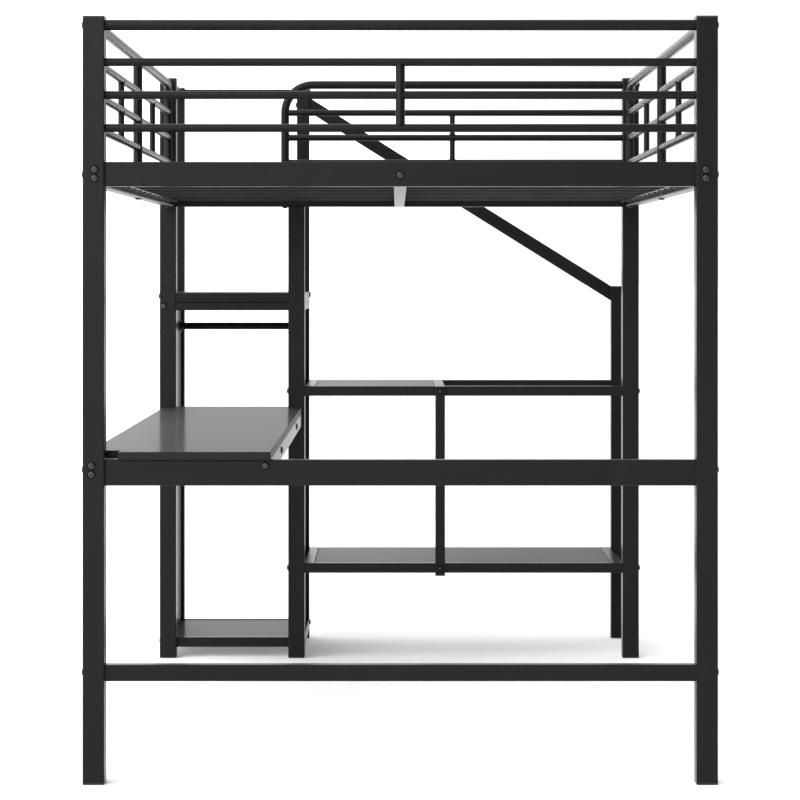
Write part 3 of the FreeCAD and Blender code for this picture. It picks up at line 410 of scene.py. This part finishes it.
def weld_beads(name, seams, settings, material):
    """Rows of small overlapping beads along seams, each a list of points and a closed flag."""
    bm = bmesh.new()
    for points, closed in seams:
        verts = [bm.verts.new(point) for point in points]
        for first, second in zip(verts, verts[1:]):
            bm.edges.new((first, second))
        if closed:
            bm.edges.new((verts[-1], verts[0]))
    carrier = bpy.data.meshes.new(name + "_seams")
    bm.to_mesh(carrier)
    bm.free()
    bead = Pattern(name)
    pitch = bead.add_input("Bead pitch", "NodeSocketFloat", settings.bead_pitch)
    radius = bead.add_input("Bead radius", "NodeSocketFloat", settings.bead_radius)
    seed = bead.add_input("Seed", "NodeSocketInt", settings.seed)
    curve = bead.node("GeometryNodeMeshToCurve", None, {"Mesh": bead.get("Geometry")})
    points = bead.node("GeometryNodeResampleCurve", {"mode": "LENGTH"}, {"Curve": curve, "Length": pitch})
    ball = bead.node("GeometryNodeMeshIcoSphere", None, {"Radius": radius, "Subdivisions": 2})
    ball = bead.node("GeometryNodeSetShadeSmooth", None, {"Geometry": ball})
    spread = {"Min": 0.85, "Max": 1.2, "Seed": seed}
    size = bead.node("FunctionNodeRandomValue", {"data_type": "FLOAT"}, spread, output=1)
    copies = bead.node(
        "GeometryNodeInstanceOnPoints", None, {"Points": points, "Instance": ball, "Scale": size}
    )
    bead.close(copies, material)
    return bead.run(name, carrier)


# ------------------------------------------------------------ sizes a user may change
class LoftBedMetal(bpy.types.PropertyGroup):
    colour: FloatVectorProperty(
        name="Coat colour", description="Colour of the powder coat", subtype="COLOR", size=3,
        default=(0.0062, 0.0062, 0.0064), min=0.0, max=1.0
    )
    roughness: FloatProperty(
        name="Coat roughness", description="Roughness of the powder coat", default=0.3, min=0.0, max=1.0
    )
    shine: FloatProperty(
        name="Coat shine", description="Strength of the coat's reflection", default=0.11, min=0.0, max=1.0
    )
    peel_size: FloatProperty(
        name="Peel size", description="Size of the orange-peel lumps", unit="LENGTH", default=0.0022
    )
    peel_depth: FloatProperty(
        name="Peel depth", description="Height of the orange-peel lumps", unit="LENGTH", default=0.00003
    )
    grit_size: FloatProperty(
        name="Grit size", description="Size of the fine grit", unit="LENGTH", default=0.0006
    )
    grit_depth: FloatProperty(
        name="Grit depth", description="Height of the fine grit", unit="LENGTH", default=0.00001
    )


class LoftBedLaminate(bpy.types.PropertyGroup):
    colour: FloatVectorProperty(
        name="Laminate colour", description="Colour of the boards", subtype="COLOR", size=3,
        default=(0.011, 0.011, 0.0115), min=0.0, max=1.0
    )
    roughness: FloatProperty(
        name="Laminate roughness", description="Roughness of the boards' faces", default=0.14,
        min=0.0, max=1.0
    )
    gloss: FloatProperty(
        name="Laminate gloss", description="Share of the face that is smooth skin and not pore",
        default=0.19, min=0.0, max=1.0
    )
    pore_size: FloatProperty(
        name="Pore size", description="Size of the pressed pores", unit="LENGTH", default=0.0011
    )
    pore_depth: FloatProperty(
        name="Pore depth", description="Depth of the pressed pores", unit="LENGTH", default=0.000012
    )
    edge_radius: FloatProperty(
        name="Edge radius", description="Rounding of the boards' edges", unit="LENGTH", default=0.0012
    )


class LoftBedPlastic(bpy.types.PropertyGroup):
    colour: FloatVectorProperty(
        name="Plastic colour", description="Colour of caps and plugs", subtype="COLOR", size=3,
        default=(0.009, 0.009, 0.0095), min=0.0, max=1.0
    )
    roughness: FloatProperty(
        name="Plastic roughness", description="Roughness of caps and plugs", default=0.5, min=0.0, max=1.0
    )
    grain_size: FloatProperty(
        name="Grain size", description="Size of the moulded grain", unit="LENGTH", default=0.0007
    )
    grain_depth: FloatProperty(
        name="Grain depth", description="Depth of the moulded grain", unit="LENGTH", default=0.00002
    )


class LoftBedSteel(bpy.types.PropertyGroup):
    colour: FloatVectorProperty(
        name="Bolt colour", description="Colour of the blackened bolts", subtype="COLOR", size=3,
        default=(0.016, 0.016, 0.017), min=0.0, max=1.0
    )
    bare_colour: FloatVectorProperty(
        name="Bare steel", description="Colour of steel where the black has rubbed off",
        subtype="COLOR", size=3, default=(0.1, 0.1, 0.105), min=0.0, max=1.0
    )
    roughness: FloatProperty(
        name="Bolt roughness", description="Roughness of the bolts", default=0.38, min=0.0, max=1.0
    )
    # The washer's rim is the painted shadow ring round a bolt's head; this sets its width.
    washer_shadow_rim: FloatProperty(
        name="Washer shadow rim", description="How far a washer shows round a bolt's head", unit="LENGTH",
        default=0.002
    )
    washer_thickness: FloatProperty(
        name="Washer thickness", description="Thickness of a washer", unit="LENGTH", default=0.0008
    )


class LoftBedWelds(bpy.types.PropertyGroup):
    bead_pitch: FloatProperty(
        name="Bead pitch", description="Distance between weld beads", unit="LENGTH", default=0.0021
    )
    bead_radius: FloatProperty(
        name="Bead radius", description="Radius of one weld bead", unit="LENGTH", default=0.0017
    )
    thin_rod_offset: FloatProperty(
        name="Upright offset", description="From a side guard's middle to its thin uprights",
        unit="LENGTH", default=0.414
    )
    rear_upright: FloatProperty(
        name="Rear upright", description="From the rear guard's leg to its thin upright",
        unit="LENGTH", default=0.5145
    )
    seed: IntProperty(name="Seed", description="Seed for the beads' sizes", default=7)


class LoftBedSlats(bpy.types.PropertyGroup):
    count: IntProperty(name="Slats", description="Slats on each side", default=14, min=2)
    width: FloatProperty(name="Slat width", description="Width of a slat", unit="LENGTH", default=0.030)
    corner: FloatProperty(
        name="Slat corner", description="Rounding of a slat's edges", unit="LENGTH", default=0.0025
    )
    plug_lip: FloatProperty(
        name="Plug lip", description="Thickness of a slat plug's lip", unit="LENGTH", default=0.0008
    )
    roughness: FloatProperty(
        name="Slat roughness", description="Roughness of the slats' dull coat", default=0.7,
        min=0.0, max=1.0
    )
    shine: FloatProperty(
        name="Slat shine", description="Strength of the slats' reflection", default=0.2, min=0.0, max=1.0
    )


class LoftBedStage(bpy.types.PropertyGroup):
    floor_colour: FloatVectorProperty(
        name="Floor colour", description="Colour of the floor", subtype="COLOR", size=3,
        default=(0.8, 0.8, 0.8), min=0.0, max=1.0
    )
    floor_glow: FloatProperty(
        name="Floor glow", description="Light that the lit floor gives back", default=0.27, min=0.0
    )
    sky: FloatProperty(name="Studio light", description="Strength of the even light", default=1.05, min=0.0)
    softbox: FloatProperty(
        name="Softbox", description="Strength of the light at the front left", default=4.6, min=0.0
    )
    softbox_spread: FloatProperty(
        name="Softbox spread", description="Half width of the change from left to right", default=0.2
    )
    backlight: FloatProperty(
        name="Backlight", description="Extra strength of the light behind the left side", default=0.9, min=0.0
    )
    distance: FloatProperty(
        name="Camera distance", description="From the foot end to the camera", unit="LENGTH", default=5.909
    )
    height: FloatProperty(
        name="Camera height", description="Camera height over the floor", unit="LENGTH", default=1.193
    )
    side: FloatProperty(
        name="Camera side", description="Camera place across the bed", unit="LENGTH", default=-0.0088
    )
    lens: FloatProperty(name="Lens", description="Focal length in millimetres", default=115.0)
    shift_x: FloatProperty(name="Shift across", description="Lens shift across", default=0.0044)
    shift_y: FloatProperty(name="Shift up", description="Lens shift up", default=-0.1634)


# ------------------------------------------------------------ operators
def coat_nodes(slots, material):
    """Gives a material to every carried-over CAD node of the named slots."""
    for entry in frame["record"]["subparts"]:
        if entry["material_slot"] in slots:
            mesh = NODES[entry["node"]].data
            for index in range(len(mesh.materials)):
                mesh.materials[index] = material


def metal():
    """The frame's coat, made once and shared by the pieces that wear it."""
    coat = bpy.context.scene.loft_bed_metal
    made = bpy.data.materials.get("Powder coat")
    return made or powder_coat("Powder coat", coat, coat.roughness, coat.shine)


def plastic():
    made = bpy.data.materials.get("Moulded plastic")
    return made or moulded_plastic("Moulded plastic", bpy.context.scene.loft_bed_plastic)


class LOFTBED_OT_coat_frame(bpy.types.Operator):
    """Powder coats the tubes, rails, guards and frames"""
    bl_idname = "loftbed.coat_frame"
    bl_label = "Coat the frame"

    def execute(self, context):
        coat_nodes(("black_metal",), metal())
        return {"FINISHED"}


class LOFTBED_OT_blacken_bolts(bpy.types.Operator):
    """Blackens the bolts and screws, and gives the hidden pins their wood"""
    bl_idname = "loftbed.blacken_bolts"
    bl_label = "Blacken the bolts"

    def execute(self, context):
        coat_nodes(("black_steel",), black_oxide("Black oxide", context.scene.loft_bed_steel))
        coat_nodes(("beech",), plain_beech("Beech"))
        return {"FINISHED"}


class LOFTBED_OT_lay_boards(bpy.types.Operator):
    """Lays the desk top, the treads and shelves, and the wardrobe's sides"""
    bl_idname = "loftbed.lay_boards"
    bl_label = "Lay the boards"

    GAP = 1.0 * MM
    DESK_SIDE_ROOM = 32.0 * MM

    def notches(self, node):
        """Corner cuts of a board: its corner's signs, and the cut's two sizes."""
        low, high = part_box(node)
        cuts = {}
        if node == "landing_board":
            posts = ("rear_left_post", "tower_middle_post", "tower_rear_left_post", "tower_rear_middle_post")
        elif node == "desk_board":
            posts = ("front_left_post", "rear_left_post", "tower_middle_post")
        else:
            return cuts
        for post in posts:
            post_low, post_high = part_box(post)
            right = (post_low.x + post_high.x) / 2 > (low.x + high.x) / 2
            rear = (post_low.y + post_high.y) / 2 > (low.y + high.y) / 2
            room = self.DESK_SIDE_ROOM if post == "front_left_post" else self.GAP
            width = high.x - post_low.x + room if right else post_high.x + room - low.x
            depth = high.y - post_low.y + self.GAP if rear else post_high.y + self.GAP - low.y
            cuts[(right, rear)] = (width, depth)
        return cuts

    def mark_edges(self, bm, size):
        """Marks the faces of a board's narrow edges, which are banded."""
        thin = min(range(3), key=lambda i: size[i])
        layer = bm.faces.layers.float.new(EDGE_BAND)
        bm.normal_update()
        for face in bm.faces:
            face[layer] = 1.0 if abs(face.normal[thin]) < 0.7 else 0.0

    def outline(self, low, high, cuts):
        corners = []
        for right, rear in ((False, False), (True, False), (True, True), (False, True)):
            x = high.x if right else low.x
            y = high.y if rear else low.y
            if (right, rear) not in cuts:
                corners.append((x, y))
                continue
            width, depth = cuts[(right, rear)]
            inner_x = x - width if right else x + width
            inner_y = y - depth if rear else y + depth
            steps = [(inner_x, y), (inner_x, inner_y), (x, inner_y)]
            if right == rear:
                steps.reverse()
            corners.extend(steps)
        return corners

    def execute(self, context):
        settings = context.scene.loft_bed_laminate
        material = laminate("Black laminate", settings)
        for entry in frame["record"]["subparts"]:
            node = entry["node"]
            if entry["material_slot"] != "black_laminate":
                continue
            low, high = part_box(node)
            bm = bmesh.new()
            corners = self.outline(low, high, self.notches(node))
            bottom = [bm.verts.new((x, y, low.z)) for x, y in corners]
            face = bm.faces.new(bottom)
            grown = bmesh.ops.extrude_face_region(bm, geom=[face])
            top = [item for item in grown["geom"] if isinstance(item, bmesh.types.BMVert)]
            bmesh.ops.translate(bm, verts=top, vec=(0, 0, high.z - low.z))
            bmesh.ops.recalc_face_normals(bm, faces=bm.faces)
            bmesh.ops.bevel(
                bm, geom=list(bm.edges), offset=settings.edge_radius, segments=3, profile=0.5,
                affect="EDGES", clamp_overlap=True
            )
            self.mark_edges(bm, high - low)
            made = piece(node + "_finished", mesh_from(bm, node), material, "black_laminate")
            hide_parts(node)
        return {"FINISHED"}


class LOFTBED_OT_fit_caps(bpy.types.Operator):
    """Fits crowned plastic caps to the posts' tops and feet, and cups to the hanging rod"""
    bl_idname = "loftbed.fit_caps"
    bl_label = "Fit the caps"

    PLUG_INSET = 1.5 * MM
    LIP = 4.0 * MM
    PLUG = 20.0 * MM
    CORNER = 2.5 * MM

    def cap(self, bm, post, up):
        """A cap on a post's upper or lower end, with its plug inside the tube."""
        low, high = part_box(post)
        half = (high.x - low.x) / 2
        inner = half - self.PLUG_INSET
        corner = self.CORNER
        profile = [
            (inner - 1.0 * MM, inner - 1.0 * MM, corner, -self.PLUG),
            (inner, inner, corner * 0.6, -self.PLUG + 1.5 * MM),
            (inner, inner, corner * 0.6, 0.0),
            (half, half, corner, 0.0),
            (half, half, corner, self.LIP - 1.2 * MM),
            (half - 0.35 * MM, half - 0.35 * MM, corner, self.LIP - 0.5 * MM),
            (half - 1.1 * MM, half - 1.1 * MM, corner, self.LIP - 0.15 * MM),
            (half - 3.0 * MM, half - 3.0 * MM, corner, self.LIP),
        ]
        end = high.z if up else low.z
        sign = 1 if up else -1
        stacked = [(x, y, radius, sign * height) for x, y, radius, height in profile]
        centre = Vector(((low.x + high.x) / 2, (low.y + high.y) / 2, end))
        loft(bm, centre, stacked)

    def execute(self, context):
        posts = [name for name in NODES if name.endswith("_post") and name != "shelf_post"]
        for node, up in (("post_top_caps", True), ("post_foot_caps", False)):
            bm = bmesh.new()
            for post in sorted(posts):
                if up and post == "tower_middle_post":
                    continue
                self.cap(bm, post, up)
            made = piece(node + "_finished", mesh_from(bm, node), plastic(), "black_plastic")
            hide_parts(node)
        coat_nodes(("black_plastic",), plastic())
        return {"FINISHED"}


class LOFTBED_OT_lay_slats(bpy.types.Operator):
    """Lays the rows of slats and plugs their open ends"""
    bl_idname = "loftbed.lay_slats"
    bl_label = "Lay the slats"

    WALL = 0.8 * MM
    FACE_INSET = 0.05 * MM
    CHAMFER_INSET = 0.5 * MM
    CHAMFER = 0.3 * MM
    PLUG_DEPTH = 9.0 * MM

    def sample(self, name, height, profile, settings):
        """One slat, or one pair of plugs, along X at the middle of its row's first place."""
        bm = bmesh.new()
        turn = Vector((0, 0, 1)).rotation_difference(Vector((1, 0, 0))).to_matrix()
        half_z = settings.width / 2
        half_y = height / 2
        for start, steps in profile:
            shell = [(half_y - inset, half_z - inset, settings.corner, along) for along, inset in steps]
            loft(bm, Vector((start, 0, 0)), shell, turn)
        return mesh_from(bm, name)

    def execute(self, context):
        settings = context.scene.loft_bed_slats
        coat = powder_coat("Slat coat", context.scene.loft_bed_metal, settings.roughness, settings.shine)
        lip = settings.plug_lip
        for node, outer in (("left_slats", -1), ("right_slats", 1)):
            low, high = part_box(node)
            length = high.x - low.x - lip
            start_x = low.x + lip if outer < 0 else low.x
            tube = [(start_x, [(0.0, 0.0), (length, 0.0)])]
            steps = [
                (0.0, self.CHAMFER_INSET), (self.CHAMFER, self.FACE_INSET), (lip, self.FACE_INSET),
                (lip, self.WALL), (self.PLUG_DEPTH, self.WALL)
            ]
            if outer > 0:
                steps = [(-along, inset) for along, inset in reversed(steps)]
            plug = [(low.x if outer < 0 else high.x, steps)]
            pitch = (high.y - low.y - settings.width) / (settings.count - 1)
            start = (0.0, low.y + settings.width / 2, (low.z + high.z) / 2)
            step = (0.0, pitch, 0.0)
            rows = (
                (node + "_finished", tube, coat, "black_metal"),
                (node + "_plugs", plug, plastic(), "black_plastic"),
            )
            for name, profile, material, slot in rows:
                sample = self.sample(name, high.z - low.z, profile, settings)
                mesh = row_of(name, sample, start, step, settings.count, material)
                made = piece(name, mesh, material, slot)
                if slot == "black_metal":
                    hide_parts(node)
        return {"FINISHED"}


class LOFTBED_OT_seat_washers(bpy.types.Operator):
    """Seats a thin rubber washer under the head of every bolt, its dead black rim a painted shadow ring round
    the head
    """
    bl_idname = "loftbed.seat_washers"
    bl_label = "Seat the washers"

    BOLTS = (
        "cross_rail_bolts", "bed_rail_bolts", "guard_bolts", "desk_bolts", "stair_bolts", "tower_bolts"
    )
    SKIN = 0.01 * MM

    def islands(self, node):
        """The points of each separate bolt in a node."""
        bm = bmesh.new()
        bm.from_mesh(NODES[node].data)
        bm.transform(NODES[node].matrix_world)
        bmesh.ops.remove_doubles(bm, verts=bm.verts, dist=self.SKIN)
        left = set(bm.verts)
        while left:
            found = [left.pop()]
            for vert in found:
                for edge in vert.link_edges:
                    other = edge.other_vert(vert)
                    if other in left:
                        left.remove(other)
                        found.append(other)
            yield [vert.co.copy() for vert in found]
        bm.free()

    def seat(self, points):
        """Where a bolt's head meets what it holds, the way it faces, and its radius."""
        low = Vector([min(point[i] for point in points) for i in range(3)])
        high = Vector([max(point[i] for point in points) for i in range(3)])
        size = high - low
        along = max(range(3), key=lambda i: size[i])
        centre = (low + high) / 2
        across = [i for i in range(3) if i != along]
        radius = size[across[0]] / 2
        rim = [
            point[along] for point in points
            if math.hypot(*(point[i] - centre[i] for i in across)) > radius * 0.99
        ]
        axis = Vector((0, 0, 0))
        axis[along] = 1 if sum(rim) / len(rim) > centre[along] else -1
        centre[along] = min(rim) if axis[along] > 0 else max(rim)
        return centre, axis, radius

    def execute(self, context):
        settings = context.scene.loft_bed_steel
        seats = [self.seat(points) for node in self.BOLTS for points in self.islands(node)]
        radius = seats[0][2] + settings.washer_shadow_rim
        bm = bmesh.new()
        lip = settings.washer_thickness
        loft(bm, Vector((0, 0, 0)), [(radius, radius, radius, 0.0), (radius, radius, radius, lip * 0.6),
                                     (radius - lip * 0.4, radius - lip * 0.4, radius - lip * 0.4, lip)])
        sample = mesh_from(bm, "washer")
        # The dead black rubber rims are painted shadow rings round the bolt heads.
        rubber = shadow_ring_rubber("Shadow ring rubber")
        mesh = scatter("bolt_washers", sample, seats, rubber)
        piece("bolt_washers", mesh, rubber, "black_plastic")
        return {"FINISHED"}


class LOFTBED_OT_weld_joints(bpy.types.Operator):
    """Runs weld beads where rods meet the guard tubes and side tubes meet the step bars"""
    bl_idname = "loftbed.weld_joints"
    bl_label = "Weld the joints"

    HOOP = 12.5 * MM
    ROD = 9.5 * MM
    THIN = 8.0 * MM
    STEP_TUBE = 30.0 * MM
    INSET = 0.5 * MM
    BOARD_GAP = 1.0 * MM
    SEAM_DROP = 3.0 * MM

    def saddle(self, centre, out, along, host, branch, count=36):
        """The closed seam round a branch tube that meets a host tube at a right angle."""
        out, along = Vector(out), Vector(along)
        across = out.cross(along)
        points = []
        for n in range(count):
            angle = math.tau * n / count
            side = branch * math.sin(angle)
            reach = math.sqrt(max(host ** 2 - side ** 2, 0.0))
            points.append(
                Vector(centre) + out * reach + along * branch * math.cos(angle) + across * side
            )
        return points, True

    def rod_levels(self):
        low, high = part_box("front_guard_rods")
        top = high.z - self.ROD
        bottom = low.z + self.ROD
        return [top, (top + bottom) / 2, bottom]

    def side_guard(self, name, settings):
        low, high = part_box(name + "_hoop")
        x = (low.x + high.x) / 2
        start, end = low.y + self.HOOP, high.y - self.HOOP
        middle = (start + end) / 2
        seams = []
        levels = self.rod_levels()
        for z in levels:
            for y, sides in ((start, (1,)), (middle, (-1, 1)), (end, (-1,))):
                for side in sides:
                    seams.append(self.saddle((x, y, z), (0, side, 0), (0, 0, 1), self.HOOP, self.ROD))
        seams.append(self.saddle((x, middle, high.z - self.HOOP), (0, 0, -1), (0, 1, 0), self.HOOP,
                                 self.HOOP - self.INSET))
        for y in (middle - settings.thin_rod_offset, middle + settings.thin_rod_offset):
            seams += self.thin_upright(x, y, (0, 1, 0), levels)
        return seams

    def thin_upright(self, x, y, along, levels):
        seams = []
        for upper, lower in zip(levels, levels[1:]):
            seams.append(self.saddle((x, y, upper), (0, 0, -1), along, self.ROD, self.THIN))
            seams.append(self.saddle((x, y, lower), (0, 0, 1), along, self.ROD, self.THIN))
        return seams

    def rear_guard(self, settings):
        low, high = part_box("rear_guard_hoop")
        y = (low.y + high.y) / 2
        x = low.x + self.HOOP
        levels = self.rod_levels()
        seams = [self.saddle((x, y, z), (1, 0, 0), (0, 0, 1), self.HOOP, self.ROD) for z in levels[1:]]
        return seams + self.thin_upright(x + settings.rear_upright, y, (1, 0, 0), levels)

    def step_seams(self):
        """Seams on the sides and underside of each side tube, at its two bars."""
        seams = []
        for node in ("first_step", "second_step", "third_step"):
            low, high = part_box(node + "_board")
            front, rear = low.y - self.BOARD_GAP, high.y + self.BOARD_GAP
            top = high.z
            for left in (low.x - self.BOARD_GAP - self.STEP_TUBE, high.x + self.BOARD_GAP):
                right = left + self.STEP_TUBE
                foot = top - self.STEP_TUBE
                for y in (front + self.INSET, rear - self.INSET):
                    seams.append((
                        [Vector((left, y, top - self.SEAM_DROP)), Vector((left, y, foot)),
                         Vector((right, y, foot)), Vector((right, y, top - self.SEAM_DROP))], False
                    ))
        return seams

    def execute(self, context):
        settings = context.scene.loft_bed_welds
        guards = self.rear_guard(settings)
        for name in ("left_guard", "right_guard"):
            guards += self.side_guard(name, settings)
        low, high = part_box("front_top_tube")
        y = (low.y + high.y) / 2
        levels = self.rod_levels()
        guards.append(self.saddle((0, y, levels[0]), (0, 0, -1), (1, 0, 0), self.ROD, self.ROD - self.INSET))
        guards.append(self.saddle((0, y, levels[2]), (0, 0, 1), (1, 0, 0), self.ROD, self.ROD - self.INSET))
        for name, seams in (("guard_welds", guards), ("step_welds", self.step_seams())):
            mesh = weld_beads(name, seams, settings, metal())
            piece(name, mesh, metal(), "black_metal")
        return {"FINISHED"}


class LOFTBED_OT_set_stage(bpy.types.Operator):
    """Lays a pale floor, sets even studio light and stands the camera at the foot end"""
    bl_idname = "loftbed.set_stage"
    bl_label = "Set the stage"

    FLOOR_SIZE = 400.0
    FRONT_TO_BACK = (-0.45, 0.15)
    BACKLIGHT_TO_SKY = (-0.05, 0.09)

    def floor(self, settings):
        pale = new_finish("Pale floor")
        cloud = pale.noise(1.5, detail=3.0)
        colour = pale.blend(cloud, rgba(settings.floor_colour, 0.99), rgba(settings.floor_colour, 1.01))
        material = pale.finish(
            Base_Color=colour, Roughness=0.9, Emission_Color=colour, Emission_Strength=settings.floor_glow
        )
        bm = bmesh.new()
        bmesh.ops.create_grid(bm, x_segments=8, y_segments=8, size=self.FLOOR_SIZE / 2)
        mesh = bpy.data.meshes.new("floor")
        bm.to_mesh(mesh)
        bm.free()
        mesh.materials.append(material)
        floor = bpy.data.objects.new("floor", mesh)
        bpy.context.scene.collection.objects.link(floor)

    def light(self, settings):
        """White light behind, brighter at its left, and a softbox at the front left."""
        world = bpy.data.worlds.new("Studio")
        bpy.context.scene.world = world
        sky = Finish(world, place="Generated")
        across = sky.node("ShaderNodeSeparateXYZ", None, (sky.place,), output="X")
        along = sky.node("ShaderNodeSeparateXYZ", None, (sky.place,), output="Y")
        behind = along.between(*self.FRONT_TO_BACK)
        left = 1 - across.between(-settings.softbox_spread, settings.softbox_spread)
        front = left * settings.softbox
        rear = (1 - across.between(*self.BACKLIGHT_TO_SKY)) * settings.backlight + settings.sky
        strength = front + (rear - front) * behind
        back = sky.node("ShaderNodeBackground", None, {"Color": rgba((1.0, 1.0, 1.0)), "Strength": strength})
        sky.node("ShaderNodeOutputWorld", None, {"Surface": back})

    def camera(self, settings):
        lens = bpy.data.cameras.new("camera")
        lens.sensor_width = 36.0
        lens.lens = settings.lens
        lens.shift_x = settings.shift_x
        lens.shift_y = settings.shift_y
        lens.clip_end = 1000.0
        camera = bpy.data.objects.new("camera", lens)
        foot_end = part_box("front_left_post")[0].y
        camera.location = (settings.side, foot_end - settings.distance, settings.height)
        camera.rotation_euler = (math.radians(90), 0, 0)
        bpy.context.scene.collection.objects.link(camera)
        bpy.context.scene.camera = camera

    def execute(self, context):
        settings = context.scene.loft_bed_stage
        self.floor(settings)
        self.light(settings)
        self.camera(settings)
        context.scene.view_settings.view_transform = "Standard"
        return {"FINISHED"}


# ------------------------------------------------------------ panel and registration
OPERATORS = (
    LOFTBED_OT_coat_frame,
    LOFTBED_OT_blacken_bolts,
    LOFTBED_OT_lay_boards,
    LOFTBED_OT_fit_caps,
    LOFTBED_OT_lay_slats,
    LOFTBED_OT_seat_washers,
    LOFTBED_OT_weld_joints,
    LOFTBED_OT_set_stage,
)

SETTINGS = {
    "loft_bed_metal": LoftBedMetal,
    "loft_bed_laminate": LoftBedLaminate,
    "loft_bed_plastic": LoftBedPlastic,
    "loft_bed_steel": LoftBedSteel,
    "loft_bed_welds": LoftBedWelds,
    "loft_bed_slats": LoftBedSlats,
    "loft_bed_stage": LoftBedStage,
}


class LOFTBED_PT_panel(bpy.types.Panel):
    """Lists the steps that finish the loft bed"""
    bl_idname = "LOFTBED_PT_panel"
    bl_label = "Loft bed"
    bl_space_type = "VIEW_3D"
    bl_region_type = "UI"
    bl_category = "Loft bed"

    def draw(self, context):
        for operator in OPERATORS:
            self.layout.operator(operator.bl_idname)
        for name, group in SETTINGS.items():
            box = self.layout.box()
            for field in group.__annotations__:
                box.prop(getattr(context.scene, name), field)


def register():
    for name, group in SETTINGS.items():
        bpy.utils.register_class(group)
        setattr(bpy.types.Scene, name, PointerProperty(type=group))
    for operator in OPERATORS:
        bpy.utils.register_class(operator)
    bpy.utils.register_class(LOFTBED_PT_panel)


def unregister():
    bpy.utils.unregister_class(LOFTBED_PT_panel)
    for operator in reversed(OPERATORS):
        bpy.utils.unregister_class(operator)
    for name, group in SETTINGS.items():
        delattr(bpy.types.Scene, name)
        bpy.utils.unregister_class(group)


def main():
    register()
    for operator in OPERATORS:
        group, call = operator.bl_idname.split(".")
        getattr(getattr(bpy.ops, group), call)()


if __name__ == "__main__":
    main()
